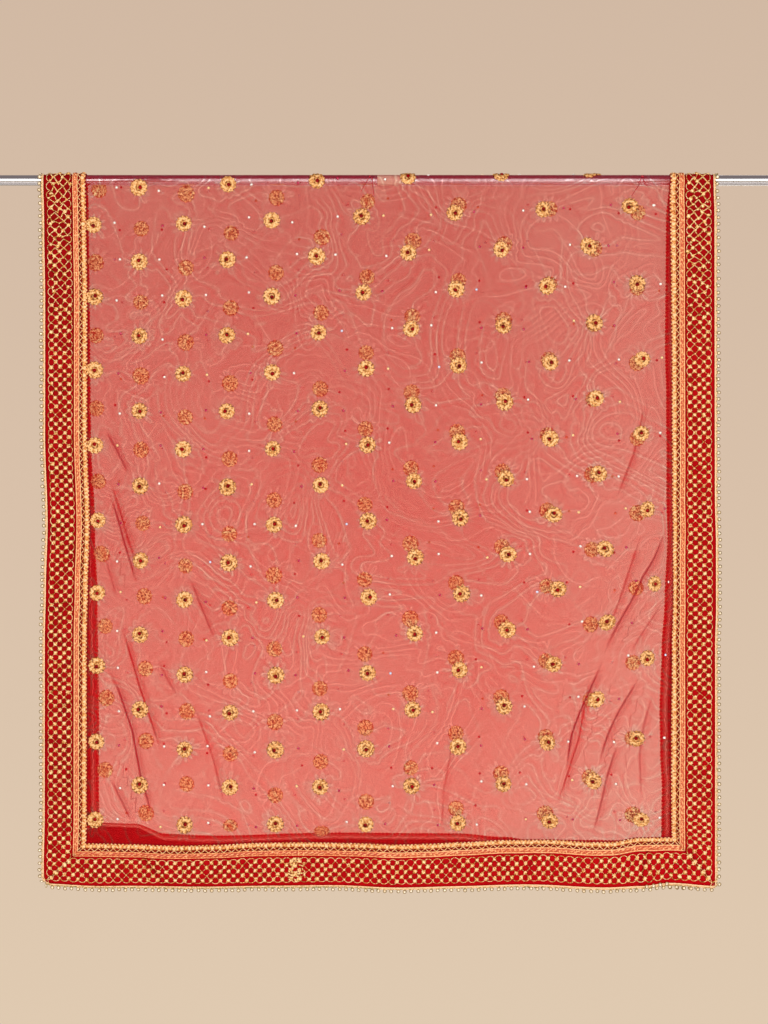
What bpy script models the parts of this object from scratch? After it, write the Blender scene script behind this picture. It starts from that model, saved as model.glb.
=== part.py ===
# Dupatta stole folded once over a straight rod.
# Metres, +Z up. The origin is on the rod's axis at mid-span, +X runs along the rod,
# the front panel hangs on the -Y side and the back panel on the +Y side.
#
# Every cloth piece is first laid out flat and then hung. Flat coordinates are
#   across : along the rod, 0 at mid-width
#   drop   : distance down the cloth from the rod's level, negative over the rod
#   height : above the cloth's inner face
# and hang() carries them to the cloth over the rod.

import math
from collections import namedtuple

import bmesh
import bpy

# Rod: two lengths of tube joined by a short sleeve of the same diameter.
ROD_RADIUS = 0.008
ROD_SPAN = 1.300
ROD_SIDES = 24
SLEEVE_START = -0.003
SLEEVE_END = 0.035
SEAM_GAP = 0.0003

# Cloth sizes.
HALF_WIDTH = 0.526
PANEL_DROP = 1.107
BORDER_WIDTH = 0.056
LACE_WIDTH = 0.0105
EDGING_WIDTH = 0.0046
NET_WALL = 0.001
LACE_GAP = 0.0005
LACE_WALL = 0.0012

# Over the rod.
TURN_RADIUS = ROD_RADIUS + 0.00035
QUARTER_TURN = TURN_RADIUS * math.pi / 2
TURN_STEPS = 12
TOP_LEG = 0.003

FRONT, BACK = -1, 1

# Staggered rows of flower appliques. Columns are counted from the left, and half rows
# from the first one below the rod: even columns use even half rows, odd columns odd ones.
FLOWER_COLUMNS = 13
FIRST_COLUMN = -0.4463
COLUMN_PITCH = 0.0715
HALF_ROWS = 16
FLOWER_RADIUS = 0.0122
FLOWER_SLOPE = 0.0018
FLOWER_RELIEF = 0.0018
STONE_RELIEF = 0.0009

# Where the embroidery's first and last rows hang, as drops at the first column, with
# their change from one column to the next.
FrontRows = namedtuple("FrontRows", "first_drop first_step last_drop")
BackRows = namedtuple("BackRows", "first_drop first_step last_drop last_bend")
FRONT_ROWS = FrontRows(first_drop=0.0745, first_step=-0.00274, last_drop=1.0082)
BACK_ROWS = BackRows(first_drop=0.0133, first_step=0.00298, last_drop=0.9964, last_bend=0.00047)

# The border's outer points: heights across the strip, from its outer edge to the net.
BorderLine = namedtuple("BorderLine", "inset height")
BORDER_LINES = (
    BorderLine(0.0000, 0.0014),  # plain margin
    BorderLine(0.0055, 0.0024),  # trellis band
    BorderLine(0.0440, 0.0024),
    BorderLine(0.0470, 0.0015),  # groove
    BorderLine(0.0500, 0.0028),  # braid
    BorderLine(0.0560, 0.0015),
)

EDGING_LINES = (
    BorderLine(-EDGING_WIDTH, 0.0014),
    BorderLine(-EDGING_WIDTH / 2, 0.0034),
    BorderLine(-SEAM_GAP, 0.0014),
)

# How much lower (+) or higher (-) the front hem hangs than its mean.
HemPoint = namedtuple("HemPoint", "across shift")
FRONT_HEM = (
    HemPoint(-0.526, -0.0034),
    HemPoint(-0.447, -0.0011),
    HemPoint(-0.376, 0.0036),
    HemPoint(-0.329, -0.0011),
    HemPoint(-0.235, 0.0036),
    HemPoint(-0.118, -0.0011),
    HemPoint(-0.047, -0.0027),
    HemPoint(0.031, 0.0020),
    HemPoint(0.141, -0.0011),
    HemPoint(0.235, -0.0027),
    HemPoint(0.353, 0.0020),
    HemPoint(0.423, 0.0005),
    HemPoint(0.470, -0.0042),
    HemPoint(0.526, 0.0020),
)

# How much higher the back hem hangs, because the cloth lies a little askew on the rod.
BACK_HEM = (
    HemPoint(-0.526, -0.0370),
    HemPoint(-0.400, -0.0300),
    HemPoint(-0.345, -0.0100),
    HemPoint(-0.280, -0.0080),
    HemPoint(-0.120, -0.0140),
    HemPoint(0.006, -0.0185),
    HemPoint(0.190, -0.0140),
    HemPoint(0.376, -0.0020),
    HemPoint(0.526, -0.0010),
)
HEM_PULL_START = {FRONT: 0.94, BACK: 0.96}

# Broad folds: each is a wave across the panel that grows from the rod to the hem.
Wave = namedtuple("Wave", "length depth phase lean")
FOLDS = {
    FRONT: (Wave(0.400, 0.0032, 0.6, 0.5), Wave(0.290, 0.0016, 2.1, -0.4)),
    BACK: (Wave(0.360, 0.0052, 1.2, 0.7), Wave(0.470, 0.0030, 3.0, -0.5)),
}
SWING_OUT = {FRONT: 0.0055, BACK: 0.0095}
BACK_DRAW_IN = 0.026

# The front net is drawn sideways beside its right border.
DriftPoint = namedtuple("DriftPoint", "drop shift")
SIDE_DRIFT = (
    DriftPoint(0.000, -0.012),
    DriftPoint(0.045, -0.020),
    DriftPoint(0.162, -0.008),
    DriftPoint(0.278, 0.000),
    DriftPoint(0.396, -0.002),
    DriftPoint(0.515, 0.008),
    DriftPoint(0.630, 0.018),
    DriftPoint(0.747, 0.006),
    DriftPoint(0.870, -0.010),
    DriftPoint(1.007, -0.002),
    DriftPoint(1.051, 0.000),
)
DRIFT_FROM, DRIFT_MOST, DRIFT_TO = 0.125, 0.410, 0.470

CLOTH_RED = (0.42, 0.006, 0.012, 1.0)
NET_RED = (0.62, 0.05, 0.06, 1.0)
GOLD = (0.80, 0.52, 0.20, 1.0)
PALE_GOLD = (0.86, 0.70, 0.42, 1.0)
CHROME = (0.75, 0.74, 0.74, 1.0)
SLEEVE_BEIGE = (0.68, 0.52, 0.38, 1.0)


def clear_scene():
    for obj in list(bpy.data.objects):
        bpy.data.objects.remove(obj, do_unlink=True)


def material(name, colour, roughness, metallic):
    made = bpy.data.materials.new(name)
    made.use_nodes = True
    shader = made.node_tree.nodes["Principled BSDF"]
    shader.inputs["Base Color"].default_value = colour
    shader.inputs["Roughness"].default_value = roughness
    shader.inputs["Metallic"].default_value = metallic
    made.diffuse_color = colour
    return made


def smooth(share):
    share = min(max(share, 0.0), 1.0)
    return share * share * (3.0 - 2.0 * share)


def between(table, place):
    """The second column of a table at a place along its first, eased from row to row."""
    if place <= table[0][0]:
        return table[0][1]
    for low, high in zip(table, table[1:]):
        if place <= high[0]:
            share = smooth((place - low[0]) / (high[0] - low[0]))
            return low[1] + (high[1] - low[1]) * share
    return table[-1][1]


def fold_depth(side, across, drop):
    grown = smooth(drop / (0.95 * PANEL_DROP))
    depth = SWING_OUT[side]
    for wave in FOLDS[side]:
        turn = math.tau * across / wave.length + wave.phase + wave.lean * drop / PANEL_DROP
        depth += wave.depth * math.sin(turn)
    return grown * depth


def side_drift(across, drop):
    rising = smooth((across - DRIFT_FROM) / (DRIFT_MOST - DRIFT_FROM))
    falling = smooth((DRIFT_TO - across) / (DRIFT_TO - DRIFT_MOST))
    return between(SIDE_DRIFT, drop) * min(rising, falling)


def hang(side, across, drop, height):
    """A point of the flat cloth, as it hangs over the rod."""
    if drop < 0.0:
        angle = -drop / TURN_RADIUS
        reach = TURN_RADIUS + height
        return across, side * reach * math.cos(angle), reach * math.sin(angle)
    out = TURN_RADIUS + height + fold_depth(side, across, drop)
    hem = FRONT_HEM if side == FRONT else BACK_HEM
    start = HEM_PULL_START[side] * (PANEL_DROP - BORDER_WIDTH)
    pull = smooth((drop - start) / (PANEL_DROP - BORDER_WIDTH - start))
    lower = drop + pull * between(hem, across)
    if side == FRONT:
        across += side_drift(across, drop)
    else:
        across *= 1.0 - BACK_DRAW_IN * (drop / PANEL_DROP) ** 1.3
    return across, side * out, -lower


def flower_drop(side, across, half_row):
    """The drop of a half row of flowers, at any place across the cloth."""
    column = (across - FIRST_COLUMN) / COLUMN_PITCH
    if side == FRONT:
        first = FRONT_ROWS.first_drop + FRONT_ROWS.first_step * column
        last = FRONT_ROWS.last_drop
    else:
        first = BACK_ROWS.first_drop + BACK_ROWS.first_step * column
        last = BACK_ROWS.last_drop - BACK_ROWS.last_bend * (FLOWER_COLUMNS - 1 - column) ** 2
    return first + (last - first) * half_row / HALF_ROWS


def row_line(side, across, line):
    """The drop of a line between two half rows: line 0 is the seam below the rod."""
    if line == 0:
        return TOP_LEG + SEAM_GAP
    return flower_drop(side, across, line - 0.5)


def paired_grids(across_steps, along_steps):
    """Two equal grids, an outer one and an inner one, joined by a rim into one wall."""
    wall = bmesh.new()
    sheets = []
    for level in (1.0, 0.0):
        made = bmesh.ops.create_grid(
            wall, x_segments=across_steps, y_segments=along_steps, size=1.0
        )
        for vert in made["verts"]:
            vert.co.z = level
        sheets.append(made["verts"])
    wall.faces.ensure_lookup_table()
    rim = [edge for edge in wall.edges if edge.is_boundary]
    bmesh.ops.bridge_loops(wall, edges=rim)
    bmesh.ops.recalc_face_normals(wall, faces=wall.faces)
    return wall, sheets


def grid_index(vert, across_steps, along_steps):
    column = round((vert.co.x + 1.0) / 2.0 * across_steps)
    line = round((vert.co.y + 1.0) / 2.0 * along_steps)
    return column, line


def finish_wall(name, wall, side, skin, turn=hang):
    for vert in wall.verts:
        vert.co = turn(side, vert.co.x, vert.co.y, vert.co.z)
    if wall.calc_volume(signed=True) < 0.0:
        bmesh.ops.reverse_faces(wall, faces=wall.faces)
    mesh = bpy.data.meshes.new(name)
    wall.to_mesh(mesh)
    wall.free()
    mesh.materials.append(skin)
    mesh.shade_smooth()
    mesh.set_sharp_from_angle(angle=math.radians(40))
    COLLECTION.objects.link(bpy.data.objects.new(name, mesh))


def net_columns():
    """Lines across the net, half-way between the columns of flowers."""
    inner = HALF_WIDTH - BORDER_WIDTH - SEAM_GAP
    lines = [FIRST_COLUMN + (step + 0.5) * COLUMN_PITCH for step in range(FLOWER_COLUMNS)]
    return [-inner] + lines + [inner]


def raise_flowers(wall, cells):
    """Turns each cell's face into a raised octagon with a stone at its centre."""
    faces = [face for face, _ in cells]
    bmesh.ops.inset_individual(wall, faces=faces, thickness=0.002, use_even_offset=True)
    edges = list({edge for face in faces for edge in face.edges})
    bmesh.ops.bisect_edges(wall, edges=edges, cuts=1)
    for face, centre in cells:
        middle = face.calc_center_median()
        wide = max(abs(vert.co.x - middle.x) for vert in face.verts)
        tall = max(abs(vert.co.y - middle.y) for vert in face.verts)
        for vert in face.verts:
            corner = math.atan2((vert.co.y - middle.y) / tall, (vert.co.x - middle.x) / wide)
            corner = round(corner / (math.pi / 4)) * math.pi / 4
            vert.co.x = centre[0] + FLOWER_RADIUS * math.cos(corner)
            vert.co.y = centre[1] + FLOWER_RADIUS * math.sin(corner)
    bmesh.ops.inset_individual(
        wall, faces=faces, thickness=FLOWER_SLOPE, depth=FLOWER_RELIEF, use_even_offset=True
    )
    bmesh.ops.poke(wall, faces=faces, offset=STONE_RELIEF)


def net_panel(name, side, half_rows, skin):
    columns = net_columns()
    last = half_rows + 1
    wall, (outer, inner) = paired_grids(len(columns) - 1, last)
    places = {}
    for vert in outer + inner:
        places[vert] = grid_index(vert, len(columns) - 1, last)
    cells = {}
    for face in wall.faces:
        if all(vert.co.z > 0.5 for vert in face.verts):
            cells[min(places[vert] for vert in face.verts)] = face
    for vert, (column, line) in places.items():
        across = columns[column]
        drop = row_line(side, across, line)
        if line == last:
            drop = PANEL_DROP - BORDER_WIDTH - SEAM_GAP
        vert.co = (across, drop, NET_WALL if vert.co.z > 0.5 else 0.0)
    flowers = []
    for column in range(FLOWER_COLUMNS):
        across = FIRST_COLUMN + column * COLUMN_PITCH
        for half_row in range(column % 2, half_rows + 1, 2):
            drop = flower_drop(side, across, half_row)
            if drop + 1.4 * FLOWER_RADIUS < PANEL_DROP - BORDER_WIDTH - LACE_WIDTH:
                flowers.append((cells[column, half_row], (across, drop)))
    raise_flowers(wall, flowers)
    finish_wall(name, wall, side, skin)


def side_strip(name, side, hand, lines, floor, rows, skin):
    """A straight strip beside the net, its lower end cut at the corner's mitre."""
    last = len(rows) - 1
    wall, (outer, inner) = paired_grids(len(lines) - 1, last)
    for vert in outer + inner:
        column, line = grid_index(vert, len(lines) - 1, last)
        inset, height = lines[column]
        across = hand * (HALF_WIDTH - inset)
        drop = row_line(side, across, rows[line])
        if line == last:
            drop = PANEL_DROP - inset - SEAM_GAP
        vert.co = (across, drop, height if vert.co.z > 0.5 else floor)
    finish_wall(name, wall, side, skin)


def hem_strip(name, side, lines, floor, skin):
    """The strip along a hem, both its ends cut at the corners' mitres."""
    columns = net_columns()
    last = len(columns) - 1
    wall, (outer, inner) = paired_grids(last, len(lines) - 1)
    for vert in outer + inner:
        column, line = grid_index(vert, last, len(lines) - 1)
        inset, height = lines[line]
        across = columns[column]
        if column in (0, last):
            across = math.copysign(HALF_WIDTH - inset - SEAM_GAP, across)
        vert.co = (across, PANEL_DROP - inset, height if vert.co.z > 0.5 else floor)
    finish_wall(name, wall, side, skin)


def over_rod(side, across, along, height):
    """The stretch over the rod, along running from the front leg to the back one."""
    crest = TOP_LEG + QUARTER_TURN
    if along <= crest:
        return hang(FRONT, across, TOP_LEG - along, height)
    return hang(BACK, across, along - crest - QUARTER_TURN, height)


def top_strip(name, columns, skin):
    """A strip over the rod. Each column is its place across, its floor and its height."""
    lines = [0.0]
    for step in range(TURN_STEPS + 1):
        lines.append(TOP_LEG + 2.0 * QUARTER_TURN * step / TURN_STEPS)
    lines.append(2.0 * (TOP_LEG + QUARTER_TURN))
    wall, (outer, inner) = paired_grids(len(columns) - 1, len(lines) - 1)
    for vert in outer + inner:
        column, line = grid_index(vert, len(columns) - 1, len(lines) - 1)
        across, floor, height = columns[column]
        vert.co = (across, lines[line], height if vert.co.z > 0.5 else floor)
    finish_wall(name, wall, FRONT, skin, turn=over_rod)


def rod_length(name, start, end, skin):
    bar = bmesh.new()
    bmesh.ops.create_cone(
        bar,
        cap_ends=True,
        segments=ROD_SIDES,
        radius1=ROD_RADIUS,
        radius2=ROD_RADIUS,
        depth=end - start,
    )
    for vert in bar.verts:
        vert.co = ((start + end) / 2.0 + vert.co.z, vert.co.y, -vert.co.x)
    bmesh.ops.recalc_face_normals(bar, faces=bar.faces)
    mesh = bpy.data.meshes.new(name)
    bar.to_mesh(mesh)
    bar.free()
    mesh.materials.append(skin)
    mesh.shade_smooth()
    mesh.set_sharp_from_angle(angle=math.radians(40))
    COLLECTION.objects.link(bpy.data.objects.new(name, mesh))


def build_rod():
    chrome = material("rod_chrome", CHROME, 0.18, 1.0)
    beige = material("sleeve_beige", SLEEVE_BEIGE, 0.6, 0.0)
    rod_length("rod_left", -ROD_SPAN / 2, SLEEVE_START - SEAM_GAP, chrome)
    rod_length("rod_sleeve", SLEEVE_START, SLEEVE_END, beige)
    rod_length("rod_right", SLEEVE_END + SEAM_GAP, ROD_SPAN / 2, chrome)


def build_net():
    net = material("net_red", NET_RED, 0.8, 0.0)
    net_panel("net_front", FRONT, HALF_ROWS, net)
    net_panel("net_back", BACK, HALF_ROWS + 1, net)
    inner = HALF_WIDTH - BORDER_WIDTH - SEAM_GAP
    columns = [(inner * step / 2, 0.0, NET_WALL) for step in range(-2, 3)]
    top_strip("net_top", columns, net)


def build_trim(kind, lines, floor, skin):
    """One kind of trim: two sides and a hem on each panel, and two stretches over the rod."""
    for panel, side, half_rows in (("front", FRONT, HALF_ROWS), ("back", BACK, HALF_ROWS + 1)):
        rows = list(range(0, half_rows, 2)) + [half_rows + 1]
        for hand_name, hand in (("left", -1), ("right", 1)):
            side_strip(f"{kind}_{panel}_{hand_name}", side, hand, lines, floor, rows, skin)
        hem_strip(f"{kind}_{panel}_hem", side, lines, floor, skin)
    for hand_name, hand in (("left", -1), ("right", 1)):
        columns = [(hand * (HALF_WIDTH - inset), floor, height) for inset, height in lines]
        top_strip(f"{kind}_top_{hand_name}", columns, skin)


def build_lace():
    low = NET_WALL + LACE_GAP
    lines = (
        BorderLine(BORDER_WIDTH + SEAM_GAP, low + LACE_WALL),
        BorderLine(BORDER_WIDTH + LACE_WIDTH, low + LACE_WALL),
    )
    build_trim("lace", lines, low, material("lace_gold", GOLD, 0.35, 0.8))


clear_scene()
COLLECTION = bpy.data.collections.new("dupatta_stole")
bpy.context.scene.collection.children.link(COLLECTION)
build_rod()
build_net()
build_trim("border", BORDER_LINES, 0.0, material("border_red", CLOTH_RED, 0.7, 0.0))
build_lace()
build_trim("edging", EDGING_LINES, 0.0, material("edging_gold", PALE_GOLD, 0.35, 0.6))
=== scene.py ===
import math
import random

import bmesh
import bpy
import numpy as np
from mathutils import Matrix, Vector


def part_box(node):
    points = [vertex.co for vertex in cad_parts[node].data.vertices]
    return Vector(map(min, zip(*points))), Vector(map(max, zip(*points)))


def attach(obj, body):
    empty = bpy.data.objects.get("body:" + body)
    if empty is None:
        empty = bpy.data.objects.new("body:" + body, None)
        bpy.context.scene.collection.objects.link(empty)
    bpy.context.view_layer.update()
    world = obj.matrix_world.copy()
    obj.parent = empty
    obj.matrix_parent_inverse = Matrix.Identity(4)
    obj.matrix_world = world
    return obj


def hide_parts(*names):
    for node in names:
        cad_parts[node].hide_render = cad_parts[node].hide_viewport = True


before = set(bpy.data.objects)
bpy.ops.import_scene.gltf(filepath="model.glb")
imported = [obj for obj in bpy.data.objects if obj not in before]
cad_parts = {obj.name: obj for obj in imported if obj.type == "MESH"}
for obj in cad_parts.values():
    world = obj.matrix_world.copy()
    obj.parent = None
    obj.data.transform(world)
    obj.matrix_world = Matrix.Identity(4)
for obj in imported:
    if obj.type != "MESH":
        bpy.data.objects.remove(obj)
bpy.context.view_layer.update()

front, back = -1, 1

# The stole, laid flat: x across it, y up its length from the front hem, z off its inner face.
stole = {
    "halfWidth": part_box("border_top_right")[1].x,
    "panelDrop": 1.107,
    "borderWidth": 0.056,
    "turnRadius": 0.00835,
    "topLeg": 0.003,
    "netWall": 0.0004,
    "seamGap": 0.0003,
    "cornerRounds": {"leftFront": 0.015, "rightFront": 0.004, "leftBack": 0.009, "rightBack": 0.009},
}
halfTurn = stole["turnRadius"] * math.pi
length = 2 * stole["panelDrop"] + halfTurn
width = 2 * stole["halfWidth"]
netHalf = stole["halfWidth"] - stole["borderWidth"]
netDrop = stole["panelDrop"] - stole["borderWidth"]

# How it hangs. A wave is (length, depth, phase, lean), across the panel and growing downwards.
drape = {
    "folds": {
        front: ((0.400, 0.0032, 0.6, 0.5), (0.290, 0.0016, 2.1, -0.4)),
        back: ((0.360, 0.0052, 1.2, 0.7), (0.470, 0.0030, 3.0, -0.5)),
    },
    "ripples": {
        front: ((0.113, 0.0007, 1.3, 2.2), (0.071, 0.0004, 0.2, -3.1)),
        back: ((0.121, 0.0010, 2.4, -2.0), (0.083, 0.0006, 1.1, 2.7)),
    },
    # ripples fade over this margin of the net and begin over this drop
    "rippleMargin": 0.05,
    "rippleStart": 0.12,
    "swingOut": {front: 0.0055, back: 0.0095},
    "swingEnd": 0.95,
    "backDrawIn": 0.026,
    "backDrawPower": 1.3,
    # how far under its inner face a piece may reach on the rod, and how much more per metre below it
    "sink": (0.0002, 0.2),
    # (across, how much lower the hem hangs)
    "hems": {
        front: (
            (-0.526, -0.0030), (-0.440, 0.0006), (-0.376, -0.0004), (-0.250, 0.0014), (-0.156, 0.0010),
            (-0.062, -0.0008), (0.032, 0.0022), (0.126, 0.0012), (0.235, -0.0012), (0.353, 0.0028),
            (0.408, 0.0008), (0.456, -0.0044), (0.526, 0.0005),
        ),
        back: (
            (-0.526, -0.0370), (-0.400, -0.0300), (-0.345, -0.0100), (-0.280, -0.0080),
            (-0.120, -0.0120), (0.006, -0.0110), (0.130, -0.0130), (0.200, -0.0060),
            (0.250, 0.0020), (0.376, 0.0040), (0.526, 0.0040),
        ),
    },
    # the same for the inner edge of the border
    "innerHem": (
        (-0.526, 0.0000), (-0.438, 0.0000), (-0.391, 0.0006), (-0.320, 0.0031), (-0.250, 0.0023),
        (-0.195, -0.0002), (-0.109, -0.0014), (-0.040, -0.0012), (0.032, 0.0010), (0.079, 0.0000),
        (0.126, -0.0020), (0.200, -0.0054), (0.267, -0.0062), (0.335, -0.0026), (0.361, -0.0030),
        (0.408, -0.0104), (0.456, -0.0110), (0.526, -0.0060),
    ),
    "hemPullStart": {front: 0.94, back: 0.96},
    # (drop, sideways shift) of the net beside the right border, and of the two edges
    "netShift": (
        (0.000, -0.012), (0.045, -0.020), (0.162, -0.008), (0.278, 0.000), (0.396, -0.002),
        (0.515, 0.008), (0.630, 0.018), (0.747, 0.006), (0.870, -0.010), (1.007, -0.002),
        (1.051, 0.000),
    ),
    "netShiftZone": (0.125, 0.410, 0.470),
    "leftEdge": (
        (0.000, -0.0024), (0.075, -0.0010), (0.190, 0.0006), (0.400, 0.0006), (0.540, 0.0046),
        (0.640, 0.0020), (0.720, 0.0004), (1.000, 0.0004), (1.070, -0.0010),
    ),
    "rightEdge": (
        (0.000, -0.0008), (0.060, 0.0006), (0.500, 0.0006), (0.570, 0.0022), (0.670, 0.0022),
        (0.730, 0.0006), (1.050, 0.0004),
    ),
    "edgeZone": (0.300, 0.460),
    # the inner edge of the right border leans in
    "rightInner": (
        (0.000, 0.0000), (0.030, -0.0016), (0.200, -0.0014), (0.440, -0.0010), (0.530, -0.0018),
        (0.590, -0.0034), (0.670, -0.0032), (0.760, -0.0022), (0.880, -0.0018), (0.970, -0.0026),
        (1.100, -0.0016),
    ),
    "rightInnerZone": (0.38, 0.46),
    # the back panel swings in and out a little behind the front one
    "swayStart": 0.06,
    "backLeftEdge": (
        (0.000, 0.0006), (0.190, -0.0012), (0.450, -0.0016), (0.560, -0.0010), (0.640, 0.0035),
        (0.740, 0.0052), (0.830, 0.0050), (0.960, 0.0030), (1.100, 0.0020),
    ),
    "backRightEdge": (
        (0.000, -0.0060), (0.250, -0.0060), (0.350, -0.0030), (0.450, -0.0012), (0.560, 0.0000),
        (0.660, -0.0030), (0.740, -0.0050), (0.830, -0.0070), (0.900, -0.0050), (0.960, -0.0015),
        (1.100, -0.0010),
    ),
}

# Creases, listed as (across, drop) points along each one, then how deep it is.
creases = {
    "depth": 0.0026,
    "width": 0.0058,
    "taper": 0.22,
    # a low lip beside the trough: (height, place in widths)
    "lip": (0.6, 1.7),
    # how far a crease is felt, and the distance given where there is none
    "reach": 0.03,
    "farGap": 0.04,
    front: (
        (((-0.429, 0.393), (-0.413, 0.423), (-0.393, 0.463)), 0.8),
        (((-0.426, 0.490), (-0.404, 0.564), (-0.379, 0.637)), 0.9),
        (((-0.432, 0.593), (-0.413, 0.653)), 0.5),
        (((-0.299, 0.617), (-0.281, 0.664), (-0.256, 0.724)), 0.6),
        (((-0.346, 0.752), (-0.332, 0.782), (-0.314, 0.811)), 0.5),
        (((-0.429, 0.760), (-0.410, 0.796), (-0.387, 0.862), (-0.374, 0.931), (-0.350, 1.014)), 1.0),
        (((-0.421, 0.938), (-0.387, 1.006)), 0.7),
        (((0.451, 0.540), (0.421, 0.584), (0.393, 0.623), (0.366, 0.689), (0.344, 0.749)), 0.9),
        (((0.430, 0.661), (0.408, 0.699), (0.387, 0.741)), 0.5),
        (((0.344, 0.752), (0.330, 0.797), (0.307, 0.873), (0.296, 0.934)), 1.0),
        (((0.405, 0.775), (0.382, 0.830), (0.360, 0.888), (0.350, 0.918)), 0.9),
        (((0.385, 0.876), (0.360, 0.940), (0.333, 1.031)), 0.8),
        (((0.430, 0.800), (0.416, 0.902), (0.413, 0.975)), 0.6),
        (((-0.378, 1.048), (-0.352, 1.080), (-0.332, 1.112)), 0.9),
        (((0.424, 1.044), (0.414, 1.078), (0.404, 1.112)), 1.0),
        (((0.245, 1.048), (0.236, 1.076), (0.224, 1.110)), 0.5),
        (((0.476, 1.047), (0.502, 1.077), (0.527, 1.106)), 0.6),
    ),
    back: (
        (((0.424, 0.350), (0.405, 0.430), (0.378, 0.500)), 0.8),
        (((0.415, 0.560), (0.392, 0.640), (0.372, 0.700)), 0.7),
        (((-0.430, 0.470), (-0.405, 0.560), (-0.388, 0.610)), 0.8),
        (((-0.418, 0.700), (-0.388, 0.800), (-0.352, 0.905)), 1.0),
        (((-0.300, 0.820), (-0.268, 0.910), (-0.250, 0.985)), 0.6),
        (((0.340, 0.780), (0.322, 0.880), (0.286, 0.990)), 0.9),
        (((0.120, 0.870), (0.104, 0.960), (0.100, 1.030)), 0.5),
    ),
}

# Rows of flowers: columns count from the left, half rows down from the rod.
embroidery = {
    "columns": 13,
    "firstColumn": -0.4463,
    "columnPitch": 0.0715,
    "halfRows": 16,
    "frontFirst": 0.0745,
    "frontStep": -0.00274,
    "frontLast": 1.0082,
    "backFirst": 0.0133,
    "backStep": 0.00298,
    "backLast": 0.9964,
    "backBend": 0.00047,
    "hemMargin": 0.012,
    "puckerDepth": 0.0008,
    "puckerRing": (0.017, 0.011),
    "puckerReach": 0.045,
    # where the rows wander: (across, drop), how far each way that reaches, then sideways and down
    "drifts": {
        front: (
            (-0.446, 0.30, 0.060, 0.22, 0.0000, -0.0090),
            (-0.446, 0.79, 0.062, 0.24, 0.0040, -0.0135),
            (0.410, 0.77, 0.170, 0.20, 0.0000, -0.0170),
            (0.410, 0.45, 0.100, 0.14, 0.0000, -0.0060),
            (-0.160, 0.62, 0.150, 0.38, 0.0000, 0.0055),
            (0.000, 0.04, 0.240, 0.22, -0.0105, 0.0000),
            (-0.200, 0.38, 0.130, 0.28, -0.0072, 0.0000),
            (0.110, 0.64, 0.130, 0.10, 0.0030, 0.0000),
            (0.000, 0.95, 0.250, 0.16, -0.0045, 0.0000),
            (0.345, 0.72, 0.070, 0.10, 0.0060, 0.0000),
        ),
        back: (
            (-0.170, 0.65, 0.300, 0.50, -0.0085, 0.0000),
            (-0.446, 0.75, 0.050, 0.20, 0.0050, 0.0000),
            (-0.446, 0.02, 0.060, 0.06, 0.0070, 0.0000),
            (-0.260, 1.00, 0.120, 0.12, -0.0050, 0.0000),
            (-0.180, 0.60, 0.220, 0.32, 0.0000, 0.0075),
            (0.340, 0.98, 0.120, 0.10, 0.0000, 0.0060),
        ),
    },
}


def eased(share):
    share = np.clip(share, 0.0, 1.0)
    return share * share * (3.0 - 2.0 * share)


def between(rows, place):
    keys, values = np.array(rows).T
    low = np.clip(np.searchsorted(keys, place) - 1, 0, len(keys) - 2)
    share = eased((place - keys[low]) / (keys[low + 1] - keys[low]))
    return values[low] + (values[low + 1] - values[low]) * share


def waves(rows, across, drop):
    total = np.zeros_like(across)
    for waveLength, depth, phase, lean in rows:
        total += depth * np.sin(math.tau * across / waveLength + phase + lean * drop / stole["panelDrop"])
    return total


def dropAt(side, run):
    # how far below the rod a place up the cloth hangs, if it lies on that panel
    return stole["panelDrop"] - run if side == front else run - stole["panelDrop"] - halfTurn


def flowerPlaces(side):
    # (across, drop) of every flower on one panel
    rows = embroidery
    places = []
    for column in range(rows["columns"]):
        across = rows["firstColumn"] + column * rows["columnPitch"]
        if side == front:
            first = rows["frontFirst"] + rows["frontStep"] * column
            last = rows["frontLast"]
            halfRows = range(-(column % 2), rows["halfRows"] + 1, 2)
        else:
            first = rows["backFirst"] + rows["backStep"] * column
            last = rows["backLast"] - rows["backBend"] * (rows["columns"] - 1 - column) ** 2
            halfRows = range(column % 2, rows["halfRows"] + 2, 2)
        for halfRow in halfRows:
            drop = first + (last - first) * halfRow / rows["halfRows"]
            if drop > netDrop - rows["hemMargin"]:
                continue
            sideways, down = 0.0, 0.0
            for midAcross, midDrop, wide, tall, driftAcross, driftDown in rows["drifts"][side]:
                pull = math.exp(-(((across - midAcross) / wide) ** 2) - ((drop - midDrop) / tall) ** 2)
                sideways += driftAcross * pull
                down += driftDown * pull
            places.append((across + sideways, drop + down))
    return places


def puckers(side, across, drop):
    # the net is gathered a little round each flower, in rays
    dice = random.Random(31 + side)
    ringRadius, ringWidth = embroidery["puckerRing"]
    height = np.zeros_like(across)
    for flowerAcross, flowerDrop in flowerPlaces(side):
        rays = dice.choice((6, 7, 8, 9))
        phase = dice.uniform(0, math.tau)
        sideways, down = across - flowerAcross, drop - flowerDrop
        close = (np.abs(sideways) < embroidery["puckerReach"]) & (np.abs(down) < embroidery["puckerReach"])
        away = np.hypot(sideways[close], down[close])
        angle = np.arctan2(down[close], sideways[close])
        ring = np.exp(-(((away - ringRadius) / ringWidth) ** 2))
        height[close] += ring * np.cos(rays * angle + phase)
    return height


def nearestFlower(side, across, drop):
    # how far across and down each point is from the flower nearest to it
    sideways, down = np.full_like(across, 0.1), np.full_like(across, 0.1)
    for flowerAcross, flowerDrop in flowerPlaces(side):
        closer = np.hypot(across - flowerAcross, drop - flowerDrop) < np.hypot(sideways, down)
        sideways[closer] = across[closer] - flowerAcross
        down[closer] = drop[closer] - flowerDrop
    return sideways, down


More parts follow.
